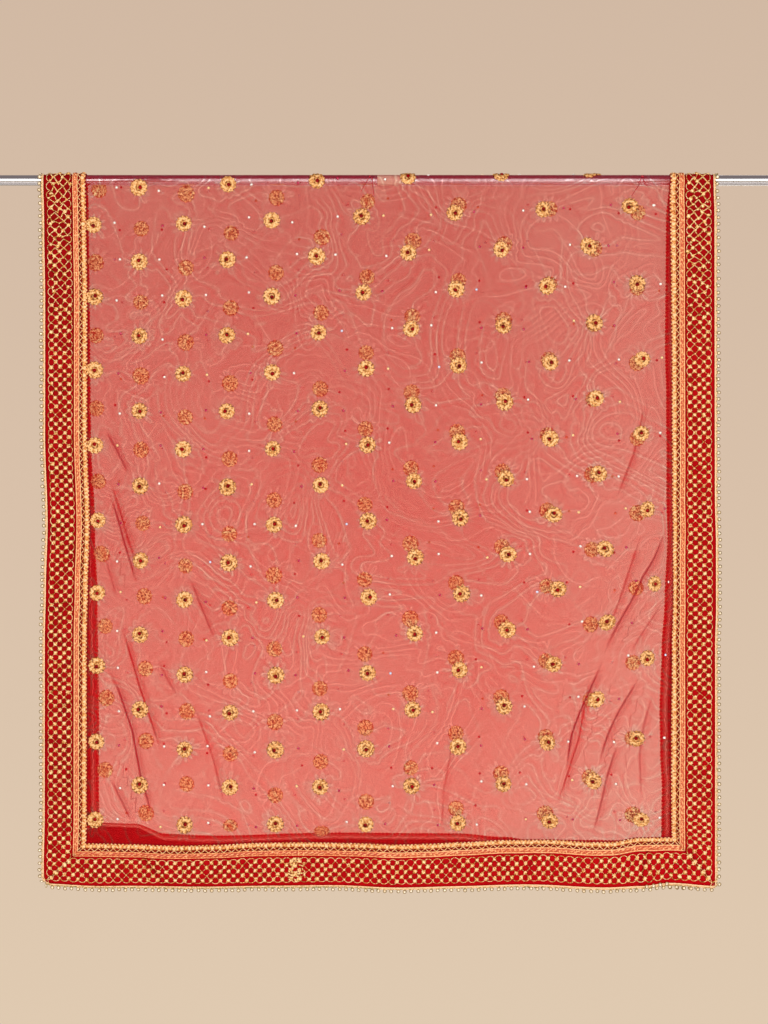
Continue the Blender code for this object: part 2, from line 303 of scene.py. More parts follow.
def creaseLines(side, across, drop):
    # (signed distance to the nearest crease, how strong that crease is there)
    gap = np.full_like(across, creases["farGap"])
    strength = np.zeros_like(across)
    for route, depth in creases[side]:
        points = np.array(route)
        legs = np.hypot(*(points[1:] - points[:-1]).T)
        gone = 0.0
        for start, end, leg in zip(points[:-1], points[1:], legs):
            reach = leg + creases["reach"]
            close = (np.abs(across - start[0]) < reach) & (np.abs(drop - start[1]) < reach)
            along = (end - start) / leg
            sideways, down = across[close] - start[0], drop[close] - start[1]
            run = np.clip(sideways * along[0] + down * along[1], 0.0, leg)
            away = np.hypot(sideways - run * along[0], down - run * along[1])
            away *= np.where(sideways * along[1] - down * along[0] < 0, -1.0, 1.0)
            share = (gone + run) / legs.sum()
            taper = eased(share / creases["taper"]) * eased((1.0 - share) / creases["taper"])
            closer = np.abs(away) < np.abs(gap[close])
            gap[close] = np.where(closer, away, gap[close])
            strength[close] = np.where(closer, depth * taper, strength[close])
            gone += leg
    return gap, strength


def relief(side, across, drop):
    # small ripples, creases and puckers; the stiffer border takes fewer of them
    margin = drape["rippleMargin"]
    inNet = eased((netHalf - np.abs(across)) / margin) * eased((netDrop - drop) / margin)
    grown = eased(drop / drape["rippleStart"])
    depth = inNet * grown * waves(drape["ripples"][side], across, drop)
    gap, strength = creaseLines(side, across, drop)
    reach = gap / creases["width"]
    lipHeight, lipPlace = creases["lip"]
    trough = lipHeight * np.exp(-((reach - lipPlace) ** 2)) - np.exp(-(reach**2))
    depth += creases["depth"] * strength * trough
    return depth + inNet * grown * embroidery["puckerDepth"] * puckers(side, across, drop)


def inZone(across, start, end):
    return eased((across - start) / (end - start))


def shiftShare(across):
    # how much of the net's sideways shift each place across takes
    start, most, end = drape["netShiftZone"]
    return np.minimum(inZone(across, start, most), inZone(across, end, most))


def frontShift(across, drop):
    shift = between(drape["netShift"], drop) * shiftShare(across)
    onBorder = np.clip((stole["halfWidth"] - across) / stole["borderWidth"], 0.0, 1.0)
    atInner = np.minimum(inZone(across, *drape["rightInnerZone"]), onBorder)
    return shift + between(drape["rightInner"], drop) * atInner


def backShift(across, drop):
    shift = -across * drape["backDrawIn"] * (drop / stole["panelDrop"]) ** drape["backDrawPower"]
    sway = np.where(across < 0, between(drape["backLeftEdge"], drop), between(drape["backRightEdge"], drop))
    atEdge = inZone(np.abs(across), *drape["edgeZone"])
    return shift + atEdge * eased(drop / drape["swayStart"]) * sway


def hangPanel(side, across, drop, height):
    depth = drape["swingOut"][side] + waves(drape["folds"][side], across, drop)
    swing = eased(drop / (drape["swingEnd"] * stole["panelDrop"])) * depth
    out = stole["turnRadius"] + height + swing + relief(side, across, drop)
    pull = inZone(drop, drape["hemPullStart"][side] * netDrop, netDrop)
    outer = between(drape["hems"][side], across)
    inner = between(drape["innerHem"], across) if side == front else outer
    onBorder = np.clip((drop - netDrop) / stole["borderWidth"], 0.0, 1.0)
    lower = drop + pull * (inner + (outer - inner) * onBorder)
    shift = frontShift(across, drop) if side == front else backShift(across, drop)
    edge = np.where(across < 0, between(drape["leftEdge"], drop), between(drape["rightEdge"], drop))
    moved = across + shift + inZone(np.abs(across), *drape["edgeZone"]) * edge
    return np.stack((moved, side * out, -lower), axis=1)


def roundCorners(across, run):
    # the four corners of the flat cloth, each a square corner pushed in to an arc
    for side, fromHem, away in (("Front", run, 1.0), ("Back", length - run, -1.0)):
        for name, hand in (("left", -1), ("right", 1)):
            radius = stole["cornerRounds"][name + side]
            outward = radius - (stole["halfWidth"] - hand * across)
            down = radius - fromHem
            inCorner = (outward > 0) & (down > 0)
            shrink = np.ones_like(across)
            shrink[inCorner] = np.maximum(outward, down)[inCorner] / np.hypot(outward, down)[inCorner]
            across = across + hand * outward * (shrink - 1.0)
            run = run - away * down * (shrink - 1.0)
    return across, run


def hang(flat):
    # every point of the flat layout, carried to the cloth over the rod
    across, run = roundCorners(flat[:, 0], flat[:, 1])
    frontDrop, backDrop = dropAt(front, run), dropAt(back, run)
    # nothing sinks into the rod
    sink, sinkPerMetre = drape["sink"]
    height = np.maximum(flat[:, 2], -sink - sinkPerMetre * np.maximum(np.maximum(frontDrop, backDrop), 0.0))
    angle = -frontDrop / stole["turnRadius"]
    reach = stole["turnRadius"] + height
    edge = np.where(across < 0, drape["leftEdge"][0][1], drape["rightEdge"][0][1])
    edge = edge * inZone(np.abs(across), *drape["edgeZone"])
    frontness = eased(0.5 + 0.5 * np.cos(np.clip(angle, 0.0, math.pi)))
    edge = edge + frontness * drape["netShift"][0][1] * shiftShare(across)
    hung = np.stack((across + edge, -reach * np.cos(angle), reach * np.sin(angle)), axis=1)
    for side, drop in ((front, frontDrop), (back, backDrop)):
        on = drop >= 0
        hung[on] = hangPanel(side, across[on], drop[on], height[on])
    return hung


class Value:
    # an output of a node, whose sums and products become Math nodes of the same tree
    def __init__(self, socket):
        self.socket = socket
        self.tree = socket.id_data

    def math(self, operation, other=0.0):
        return addNode(self.tree, "Math", {0: self, 1: other}, operation=operation)

    def __add__(self, other):
        return self.math("ADD", other)

    def __sub__(self, other):
        return self.math("SUBTRACT", other)

    def __mul__(self, other):
        return self.math("MULTIPLY", other)

    def __truediv__(self, other):
        return self.math("DIVIDE", other)

    def __pow__(self, other):
        return self.math("POWER", other)

    def __abs__(self):
        return self.math("ABSOLUTE")

    def feed(self, socket):
        self.tree.links.new(self.socket, socket)


def addNode(tree, kind, inputs, output=0, **settings):
    node = tree.nodes.new("ShaderNode" + kind)
    for name, value in settings.items():
        setattr(node, name, value)
    for place, value in inputs.items():
        if isinstance(value, Value):
            value.feed(node.inputs[place])
        else:
            node.inputs[place].default_value = value
    return Value(node.outputs[output])


def axes(vector):
    parts = addNode(vector.tree, "SeparateXYZ", {0: vector}).socket.node
    return [Value(socket) for socket in parts.outputs]


def mixColour(share, first, second):
    # each is a value of the tree or a plain colour
    inputs = {0: share}
    for place, colour in ((6, first), (7, second)):
        inputs[place] = colour if isinstance(colour, Value) else (*colour, 1.0)
    return addNode(share.tree, "Mix", inputs, output=2, data_type="RGBA")


def colourRamp(value, stops, interpolation="LINEAR"):
    ramped = addNode(value.tree, "ValToRGB", {0: value})
    ramp = ramped.socket.node.color_ramp
    ramp.interpolation = interpolation
    ramp.elements.remove(ramp.elements[1])
    ramp.elements[0].position, ramp.elements[0].color = stops[0][0], (*stops[0][1], 1.0)
    for position, colour in stops[1:]:
        ramp.elements.new(position).color = (*colour, 1.0)
    return ramped


def remap(value, low, high, newLow=0.0, newHigh=1.0):
    return addNode(value.tree, "MapRange", {0: value, 1: low, 2: high, 3: newLow, 4: newHigh})


def noiseOn(coordinates, scale, detail=2.0, distortion=0.0):
    inputs = {"Vector": coordinates, "Scale": scale, "Detail": detail, "Distortion": distortion}
    return addNode(coordinates.tree, "TexNoise", inputs)


def flatMap(tree, name="flat"):
    return addNode(tree, "UVMap", {}, uv_map=name)


def attribute(tree, name):
    return addNode(tree, "Attribute", {}, output="Fac", attribute_name=name)


def startMaterial(name, sockets):
    made = bpy.data.materials.new(name)
    made.use_nodes = True
    shader = made.node_tree.nodes["Principled BSDF"]
    for socket, value in sockets.items():
        shader.inputs[socket].default_value = value
    return made, made.node_tree, shader


def addBump(shader, height, strength, distance):
    inputs = {"Height": height, "Strength": strength, "Distance": distance}
    addNode(height.tree, "Bump", inputs).feed(shader.inputs["Normal"])


def wave(value, perUnit):
    # 0..1, perUnit times in each unit of value
    return remap((value * (perUnit * math.tau)).math("SINE"), -1.0, 1.0)


def near(value, centre, reach):
    # 1 at the centre, falling away over the reach
    off = (value - centre) / reach
    return (off * off * -1.0).math("EXPONENT")


def weaveOn(across, up, threadsPerMetre):
    return wave(across, threadsPerMetre) * wave(up, threadsPerMetre)


def awayFromRod(up):
    return abs(up - stole["panelDrop"])


netLook = {
    "sockets": {
        "Roughness": 0.8, "Specular IOR Level": 0.06, "Sheen Weight": 0.15,
        "Sheen Tint": (0.9, 0.05, 0.06, 1.0),
    },
    # the thread: painted shade near the rod and painted light towards the hems and the right, paler where it
    # shows the wall, painted shade in creases and round the rod
    "threadShadedHigh": (0.56, 0.004, 0.006),
    "threadLitLow": (0.80, 0.005, 0.007),
    "threadPale": (0.62, 0.125, 0.080),
    "threadCreaseShade": (0.32, 0.002, 0.012),
    "threadRodShade": (0.33, 0.003, 0.022),
    "alpha": 0.268,
    "threadsPerMetre": 870.0,
    # the hills whose levels are drawn as lines: (noise scale, detail, distortion), then their number
    "hills": (5.2, 2.0, 0.75),
    "contours": 19.0,
    "contourWidth": 0.0012,
    "leastSlope": 13.0,
    # the lines fade in patches: (noise scale, detail), then the noise that fades them and how far
    "patches": (7.0, 1.0),
    "fade": (0.38, 0.56, 0.40, 1.0),
    # rays gathered round a flower: how many, how far out, how wide, how they waver and how high
    "rays": 11.0,
    "rayRing": (0.015, 0.011),
    "waver": (16.0, 1.0),
    "waverTurn": 9.0,
    "rayHeight": 0.55,
    "creaseBend": (110.0, 0.022),
    "probe": 0.001,
    # a crease is painted as a thin line of shade with a paler painted shadow beside it: (place, width)
    "creaseLine": (0.0, 0.0017),
    "creaseShadow": (0.005, 0.004),
    # where it is stretched thinner: from, to, how much
    "thinLow": (0.60, 1.0, 0.0, 0.046),
    "thinLeft": (-0.16, -0.40, 0.0, 0.014),
    "rightSide": (0.16, 0.40),
    "thinRight": 0.056,
}


def netField(place, toAcross, toUp, crease):
    # where two layers of net beat against each other: smooth hills, bent by the flowers and the creases
    look = netLook
    hills = noiseOn(place, *look["hills"]) * look["contours"]
    away = (toAcross * toAcross + toUp * toUp).math("SQRT")
    turn = toUp.math("ARCTAN2", toAcross) * look["rays"] + noiseOn(place, *look["waver"]) * look["waverTurn"]
    gathered = remap(turn.math("SINE"), -1.0, 1.0) * near(away, *look["rayRing"])
    return hills + gathered * look["rayHeight"] + crease, gathered


def netLines(field, slope, width):
    # thin lines of one width along the levels of the field
    level = (field + 0.5).math("FRACT") - 0.5
    return near(level / slope, 0.0, width)


def netMaterial():
    look = netLook
    made, tree, shader = startMaterial("net_red", look["sockets"])
    place = flatMap(tree)
    across, up, _ = axes(place)
    toAcross, toUp = attribute(tree, "toFlowerAcross"), attribute(tree, "toFlowerUp")
    gap, strength = attribute(tree, "creaseGap"), attribute(tree, "creaseStrength")
    bend, bendReach = look["creaseBend"]
    crease = gap * bend * (near(gap, 0.0, bendReach) * strength)
    field, gathered = netField(place, toAcross, toUp, crease)
    slopes = []
    for step in ((look["probe"], 0.0, 0.0), (0.0, look["probe"], 0.0)):
        moved = addNode(tree, "VectorMath", {0: place, 1: step}, operation="ADD")
        further = netField(moved, toAcross + step[0], toUp + step[1], crease)[0]
        slopes.append((further - field) / look["probe"])
    steep = (slopes[0] * slopes[0] + slopes[1] * slopes[1]).math("SQRT").math("MAXIMUM", look["leastSlope"])
    patch = remap(noiseOn(place, *look["patches"]), *look["fade"])
    lines = netLines(field, steep, look["contourWidth"]) * patch + gathered ** 3.0 * 0.4
    shadow = netLines(field + 0.32, steep, look["contourWidth"] * 1.3) * patch
    # painted shade along each crease and a fainter painted shadow beside it; the net is also made denser
    # there
    dark = near(gap, *look["creaseLine"]) * strength + near(gap, *look["creaseShadow"]) * strength * 0.3

    fromRod = awayFromRod(up)
    toRight = remap(across, *look["rightSide"])
    # painted shade near the rod, painted light towards the hems and to the right
    colour = mixColour(fromRod + toRight * 0.2, look["threadShadedHigh"], look["threadLitLow"])
    colour = mixColour(lines, colour, look["threadPale"])
    colour = mixColour(dark, colour, look["threadCreaseShade"])
    onRod = remap(up, stole["panelDrop"] - 0.005, stole["panelDrop"] + 0.002)
    offRod = remap(up, stole["panelDrop"] + halfTurn, stole["panelDrop"] + halfTurn + 0.006)
    # painted shade where the net wraps over the rod, left off over the pale sleeve, where it keeps its colour
    sleeveLow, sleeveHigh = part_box("rod_sleeve")[0].x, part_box("rod_sleeve")[1].x
    fromSleeve = abs(across - (sleeveLow + sleeveHigh) / 2)
    bare = remap(fromSleeve, (sleeveHigh - sleeveLow) / 2, (sleeveHigh - sleeveLow) / 2 + 0.001)
    rodWrapShade = (onRod - offRod) * bare
    mixColour(rodWrapShade, colour, look["threadRodShade"]).feed(shader.inputs["Base Color"])

    weave = weaveOn(across, up, look["threadsPerMetre"])
    alpha = weave * 0.06 + look["alpha"]
    alpha = alpha + remap(noiseOn(place, 3.0, 2.0), 0.3, 0.7, -0.02, 0.02)
    alpha = alpha - remap(fromRod, *look["thinLow"]) - toRight * look["thinRight"]
    alpha = alpha - remap(across, *look["thinLeft"]) + rodWrapShade * 0.13
    alpha = alpha - lines * 0.13 + shadow * 0.06 + dark * 0.50
    alpha.feed(shader.inputs["Alpha"])
    addBump(shader, weave, 0.15, 0.0004)
    return made


borderLook = {
    "sockets": {
        "Roughness": 0.7, "Specular IOR Level": 0.05, "Sheen Weight": 0.05,
        "Sheen Tint": (0.9, 0.02, 0.03, 1.0),
    },
    "worn": ((0.23, 0.0002, 0.0010), (0.37, 0.0004, 0.0024)),
    # painted light, brighter to the right and at the hems, and painted shade, deeper by the rod
    "bright": (0.50, 0.0005, 0.0034),
    "brightRight": (-0.3, 0.5, 0.0, 0.3),
    "brightHem": (0.95, 1.06, 0.0, 0.3),
    "byRodShade": (0.17, 0.0002, 0.001),
    "rodReach": (0.0, 0.30, 0.5, 0.0),
    "pleatShade": (0.10, 0.0001, 0.0005),
    "pleatWidth": 0.0018,
    "raised": (0.55, 0.001, 0.005),
    "threadsPerMetre": 900.0,
    "liningShade": (0.10, 0.0002, 0.0020),
}


def borderMaterial():
    look = borderLook
    made, tree, shader = startMaterial("border_red", look["sockets"])
    place = flatMap(tree)
    across, up, _ = axes(place)
    colour = mixColour(remap(noiseOn(place, 38.0, 3.0), 0.3, 0.7), *look["worn"])
    fromRod = awayFromRod(up)
    # painted light to the right and at the hems, painted shade by the rod
    bright = remap(across, *look["brightRight"]) + remap(fromRod, *look["brightHem"])
    colour = mixColour(bright, colour, look["bright"])
    colour = mixColour(remap(fromRod, *look["rodReach"]), colour, look["byRodShade"])
    # painted shade along the pleats
    pleatShade = near(attribute(tree, "creaseGap"), 0.0, look["pleatWidth"]) * attribute(tree, "creaseStrength")
    colour = mixColour(pleatShade * 0.7, colour, look["pleatShade"])
    weave = weaveOn(across, up, look["threadsPerMetre"])
    # the raised threads of the weave painted paler, a painted highlight
    colour = mixColour(weave * 0.2, colour, look["raised"])
    # painted shade on the inner face of the strip
    mixColour(attribute(tree, "liningShade"), colour, look["liningShade"]).feed(shader.inputs["Base Color"])
    addBump(shader, weave, 0.35, 0.0004)
    return made


# Gold threads: each has its shades from deep to pale, its gloss and how strongly it is speckled.
threadLooks = {
    "trellis_gold": {
        "shades": ((0.16, 0.080, 0.008), (0.82, 0.355, 0.054), (1.0, 0.71, 0.35)),
        "metallic": 0.15, "roughness": 0.32, "grain": 0.72,
    },
    "braid_peach": {
        "shades": ((0.50, 0.048, 0.011), (0.84, 0.26, 0.075), (0.98, 0.54, 0.25)),
        "metallic": 0.05, "roughness": 0.5, "grain": 0.36,
    },
    "lace_gold": {
        "shades": ((0.44, 0.08, 0.010), (0.86, 0.35, 0.070), (0.98, 0.62, 0.31)),
        "metallic": 0.1, "roughness": 0.38, "grain": 0.66,
    },
    "edging_gold": {
        "shades": ((0.30, 0.26, 0.07), (0.92, 0.54, 0.25), (1.0, 0.68, 0.38)),
        "metallic": 0.05, "roughness": 0.5, "grain": 0.6,
    },
    "flower_gold": {
        "shades": ((0.18, 0.047, 0.003), (0.67, 0.25, 0.04), (0.87, 0.52, 0.215)),
        "metallic": 0.1, "roughness": 0.36,
    },
    "flower_back": {
        "shades": ((0.12, 0.010, 0.002), (0.58, 0.19, 0.026), (0.96, 0.76, 0.33)),
        "metallic": 0.0, "roughness": 0.5,
    },
}
shadePlaces = (0.08, 0.48, 0.92)
twistsPerMetre = 640.0


def startThread(name):
    look = threadLooks[name]
    return startMaterial(name, {"Metallic": look["metallic"], "Roughness": look["roughness"]})


def threadColour(shade, name):
    return colourRamp(shade, list(zip(shadePlaces, threadLooks[name]["shades"])))


def threadMaterial(name):
    made, tree, shader = startThread(name)
    ahead, aside, _ = axes(flatMap(tree, "local"))
    spots = remap(noiseOn(flatMap(tree), 360.0, 1.0), 0.35, 0.65)
    # one side of each stitch catches the light and the other falls away
    slope = remap(ahead, -0.003, 0.003)
    twist = wave(ahead + aside * 0.6, twistsPerMetre)
    glints = remap(noiseOn(flatMap(tree), 290.0, 1.0), 0.56, 0.64)
    shade = attribute(tree, "tone") * 0.48 + spots * threadLooks[name]["grain"]
    shade = shade + slope * 0.25 - twist * 0.30 + glints * 0.7
    threadColour(shade, name).feed(shader.inputs["Base Color"])
    addBump(shader, twist, 0.5, 0.0003)
    return made


flower = {
    # (radius, height) of the turned outline, from the middle of its face to the middle of its back
    "outline": (
        (0.0000, 0.0010), (0.0036, 0.0011), (0.0052, 0.0016), (0.0078, 0.0025), (0.0100, 0.0013),
        (0.0115, 0.0021), (0.0130, 0.0009), (0.0124, -0.0009), (0.0095, -0.0018), (0.0068, -0.0010),
        (0.0042, -0.0016), (0.0000, -0.0012),
    ),
    "lobes": 11,
    "lobeDepth": 0.055,
    "lobeStart": 0.009,
    "lobeRise": 2.5,
    "sewingSide": -0.0003,
    "stone": (0.0066, 0.0066, 0.0034),
    "stoneOffset": 0.0024,
    "stoneLift": 0.0012,
    "sequinReach": (0.029, 0.038),
    "sequinRadii": (0.0021, 0.000945),
    "sequinLift": 0.0007,
    "sequinMargin": 0.008,
    # its coils: turns round the flower and per metre outwards, then (radius, width) of two grooves
    "coils": 15.0,
    "coilPitch": 260.0,
    "outerGroove": (0.0100, 0.0007),
    "innerGroove": (0.0044, 0.0010),
    "rim": (0.0096, 0.0120),
}


def flowerMaterial(name):
    # coiled metal thread: two bright rings of coil, with painted shade in its grooves and between the lobes
    # of its rim
    made, tree, shader = startThread(name)
    ahead, aside, _ = axes(flatMap(tree, "local"))
    angle = aside.math("ARCTAN2", ahead)
    away = (ahead * ahead + aside * aside).math("SQRT")
    coil = wave(angle * (flower["coils"] / math.tau) + away * flower["coilPitch"], 1.0)
    spots = remap(noiseOn(flatMap(tree), 420.0, 2.0), 0.3, 0.7)
    blotch = remap(noiseOn(flatMap(tree), 300.0, 0.0), 0.38, 0.62)
    # painted shade in the grooves and between the rim's lobes, which also dip the bump
    grooves = near(away, *flower["outerGroove"]) * 0.5 + near(away, *flower["innerGroove"])
    gaps = wave(angle * (flower["lobes"] / math.tau), 1.0) ** 4.0 * remap(away, *flower["rim"])
    shade = attribute(tree, "tone") * 0.15 + spots * 0.45 + blotch * 0.55 + coil * 0.25
    shade = shade - grooves * 0.5 - gaps * 0.65
    if name == "flower_back":
        # the sewing side shows its crossing stitches, dark between
        tangle = remap(noiseOn(flatMap(tree), 400.0, 0.0, 1.2), 0.45, 0.55)
        shade = shade * 0.35 + tangle * 0.75
    threadColour(shade, name).feed(shader.inputs["Base Color"])
    addBump(shader, coil - (grooves + gaps), 0.8, 0.0005)
    return made


def plainMaterial(name, deep, pale, scale, sockets, bump=0.2):
    # a finish whose shade wanders between two colours
    made, tree, shader = startMaterial(name, sockets)
    place = addNode(tree, "TexCoord", {}, output="Object")
    spots = remap(noiseOn(place, scale, 3.0), 0.3, 0.7)
    mixColour(spots, deep, pale).feed(shader.inputs["Base Color"])
    addBump(shader, spots, bump, 0.0003)
    return made


lacePitch = 0.00593

tapeBackLook = {
    "cloth": ((0.24, 0.050, 0.036), (0.48, 0.125, 0.085)),
    "picot": (0.70, 0.20, 0.14),
    "picotRow": (0.0655, 0.0022),
    "dash": (1.0, 0.46, 0.32),
    "dashRow": (0.0590, 0.0024),
    # painted shade, deeper up the left side than along the hem
    "leftSideShade": (0.06, 0.0003, 0.014),
    "aboveHem": (0.90, 1.045, 1.0, 0.0),
    "leftward": (-0.2, 0.3, 0.92, 0.25),
}


def tapeBackMaterial():
    # the sewing side of the lace: tape with the small loops of its edge and a row of dashes
    look = tapeBackLook
    made, tree, shader = startMaterial("lace_tape_back", {"Roughness": 0.8, "Specular IOR Level": 0.1})
    ahead, inset, _ = axes(flatMap(tree, "local"))
    across, up, _ = axes(flatMap(tree))
    spots = remap(noiseOn(flatMap(tree), 260.0, 2.0), 0.35, 0.65)
    picots = wave(ahead, 1.0 / lacePitch) * near(inset, *look["picotRow"])
    stitched = remap(noiseOn(flatMap(tree), 420.0, 1.0), 0.40, 0.56, 0.25, 0.9)
    cloth = mixColour(spots, *look["cloth"])
    cloth = mixColour(picots * 0.35, cloth, look["picot"])
    cloth = mixColour(near(inset, *look["dashRow"]) * stitched, cloth, look["dash"])
    # painted shade up the left side
    leftSideShade = remap(awayFromRod(up), *look["aboveHem"]) * remap(across, *look["leftward"])
    mixColour(leftSideShade, cloth, look["leftSideShade"]).feed(shader.inputs["Base Color"])
    addBump(shader, spots, 0.4, 0.0004)
    return made


# (from this tone, colour); the white ones are painted glints
sequinColoursAndGlints = (
    (0.0, (0.50, 0.004, 0.07)), (0.32, (1.0, 0.70, 0.30)),
    (0.50, (1.0, 0.96, 0.88)), (0.96, (0.70, 0.78, 1.0)),
)


def sequinMaterial():
    made, tree, shader = startMaterial("sequin_gold", {"Metallic": 0.0, "Roughness": 0.2})
    colour = colourRamp(attribute(tree, "tone"), sequinColoursAndGlints, "CONSTANT")
    spots = noiseOn(flatMap(tree, "local"), 900.0, 1.0)
    mixColour(spots * 0.1, colour, (0.5, 0.3, 0.2)).feed(shader.inputs["Base Color"])
    addBump(shader, spots, 0.1, 0.0002)
    return made


def chromeMaterial():
    # polished steel with fine lengthwise scratches
    made, tree, shader = startMaterial("rod_chrome", {"Metallic": 1.0})
    place = addNode(tree, "TexCoord", {}, output="Object")
    stretched = addNode(tree, "Mapping", {"Vector": place, "Scale": (6.0, 900.0, 900.0)})
    scratches = noiseOn(stretched, 1.0, 2.0)
    mixColour(scratches, (0.70, 0.69, 0.70), (0.92, 0.91, 0.91)).feed(shader.inputs["Base Color"])
    remap(scratches, 0.3, 0.7, 0.06, 0.08).feed(shader.inputs["Roughness"])
    return made


# The plain finishes: name, two colours, how fine the change between them is, sockets and, for some, the bump.
plainFinishes = {
    "tape": (
        "lace_tape", (0.17, 0.0015, 0.0015), (0.36, 0.008, 0.004), 160.0,
        {"Roughness": 0.8, "Specular IOR Level": 0.1},
    ),
    "bead": (
        "bead_pearl", (0.82, 0.62, 0.36), (1.0, 0.90, 0.70), 300.0,
        {"Roughness": 0.25, "Metallic": 0.1, "Coat Weight": 0.4},
    ),
    "beadCup": (
        "bead_cup", (0.26, 0.15, 0.04), (0.52, 0.34, 0.12), 300.0, {"Roughness": 0.4, "Metallic": 0.3},
    ),
    "stone": (
        "stone_ruby", (0.04, 0.0002, 0.0004), (0.40, 0.001, 0.003), 260.0,
        {"Roughness": 0.30, "Specular IOR Level": 0.08}, 0.05,
    ),
    "sleeve": ("sleeve_beige", (0.64, 0.49, 0.36), (0.72, 0.56, 0.42), 90.0, {"Roughness": 0.6}),
    "seam": (
        "lace_seam", (0.78, 0.22, 0.16), (1.0, 0.56, 0.44), 300.0,
        {"Roughness": 0.6, "Specular IOR Level": 0.1},
    ),
    "scallop": (
        "lace_scallop", (0.20, 0.0010, 0.005), (0.36, 0.004, 0.014), 200.0,
        {"Roughness": 0.8, "Specular IOR Level": 0.05},
    ),
    "pulledThread": ("pulled_thread", (0.36, 0.003, 0.012), (0.50, 0.01, 0.03), 400.0, {"Roughness": 0.7}),
}

finishes = {
    "net": netMaterial(),
    "border": borderMaterial(),
    "trellis": threadMaterial("trellis_gold"),
    "braid": threadMaterial("braid_peach"),
    "lace": threadMaterial("lace_gold"),
    "edging": threadMaterial("edging_gold"),
    "flower": flowerMaterial("flower_gold"),
    "flowerBack": flowerMaterial("flower_back"),
    "sequin": sequinMaterial(),
    "chrome": chromeMaterial(),
    "tapeBack": tapeBackMaterial(),
}
for finishName, look in plainFinishes.items():
    finishes[finishName] = plainMaterial(*look)
print("finishes made")


def newPiece(name, mesh, finish, replaced=()):
    mesh.materials.append(finishes[finish])
    mesh.shade_smooth()
    piece = bpy.data.objects.new(name, mesh)
    bpy.context.scene.collection.objects.link(piece)
    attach(piece, "root")
    if replaced:
        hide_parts(*replaced)
    return piece


def addMap(mesh, name, corners):
    layer = mesh.uv_layers.new(name=name)
    layer.uv.foreach_set("vector", corners.astype(np.float32).ravel())


def cornerVerts(mesh):
    index = np.empty(len(mesh.loops), np.int32)
    mesh.loops.foreach_get("vertex_index", index)
    return index


def addAttribute(mesh, name, values):
    made = mesh.attributes.new(name, "FLOAT", "POINT")
    made.data.foreach_set("value", values.astype(np.float32))


def hungMesh(name, cloth):
    # a bmesh modelled in the flat layout, with its flat map kept, hung over the rod
    if cloth.calc_volume(signed=True) < 0:
        bmesh.ops.reverse_faces(cloth, faces=cloth.faces)
    mesh = bpy.data.meshes.new(name)
    cloth.to_mesh(mesh)
    cloth.free()
    flat = np.empty(len(mesh.vertices) * 3)
    mesh.vertices.foreach_get("co", flat)
    flat = flat.reshape(-1, 3)
    addMap(mesh, "flat", flat[cornerVerts(mesh), :2])
    mesh.vertices.foreach_set("co", hang(flat).astype(np.float32).ravel())
    mesh.update()
    return mesh, flat


def runLines(low, high, step, fineStep=0.0015):
    # places up the cloth, closer together where it turns over the rod
    turnLow = stole["panelDrop"] - stole["topLeg"]
    turnHigh = stole["panelDrop"] + halfTurn + stole["topLeg"]
    stops = [low]
    for end, space in ((turnLow, step), (turnHigh, fineStep), (high, step)):
        end = min(end, high)
        if end > stops[-1] + 1e-6:
            count = max(1, round((end - stops[-1]) / space))
            stops += list(np.linspace(stops[-1], end, count + 1)[1:])
    return stops


def gridCloth(columns, lines, place, thickness):
    # a flat grid whose crossings go to place(column, line), then given its thickness
    cloth = bmesh.new()
    across, along = len(columns) - 1, len(lines) - 1
    bmesh.ops.create_grid(cloth, x_segments=across, y_segments=along, size=0.5)
    for vert in cloth.verts:
        column = columns[round((vert.co.x + 0.5) * across)]
        line = lines[round((vert.co.y + 0.5) * along)]
        vert.co = place(column, line)
    bmesh.ops.solidify(cloth, geom=cloth.faces[:], thickness=thickness)
    return cloth


def creasesAt(flat):
    # the nearest crease of whichever panel each flat point lies on
    across, run = flat[:, 0], flat[:, 1]
    frontDrop, backDrop = dropAt(front, run), dropAt(back, run)
    frontGap, frontStrength = creaseLines(front, across, frontDrop)
    backGap, backStrength = creaseLines(back, across, backDrop)
    onFront = frontDrop > backDrop
    return np.where(onFront, frontGap, backGap), np.where(onFront, frontStrength, backStrength)


def markCreases(mesh, flat):
    gap, strength = creasesAt(flat)
    addAttribute(mesh, "creaseGap", gap)
    addAttribute(mesh, "creaseStrength", strength)


netSheet = {"step": 0.0066, "height": 0.0002}


def buildNet():
    crossing = stole["panelDrop"] + halfTurn + stole["topLeg"]
    hems = stole["borderWidth"] + stole["seamGap"]
    edge = netHalf - stole["seamGap"]
    columns = list(np.linspace(-edge, edge, round(2 * edge / netSheet["step"]) + 1))
    for name, side, low, high, replaced in (
        ("net_front_sheet", front, hems, crossing, ("net_front", "net_top")),
        ("net_back_sheet", back, crossing, length - hems, ("net_back",)),
    ):
        lines = runLines(low, high, netSheet["step"])
        cloth = gridCloth(columns, lines, lambda x, y: (x, y, netSheet["height"]), stole["netWall"])
        mesh, flat = hungMesh(name, cloth)
        markCreases(mesh, flat)
        drop = np.maximum(dropAt(side, flat[:, 1]), 0.0)
        toAcross, toDrop = nearestFlower(side, flat[:, 0], drop)
        addAttribute(mesh, "toFlowerAcross", toAcross)
        addAttribute(mesh, "toFlowerUp", toDrop * side)
        net = newPiece(name, mesh, "net", replaced)
        # bounced light passes the net by, which shortens a render
        net.visible_diffuse = False
        print(name, len(mesh.polygons), "faces")


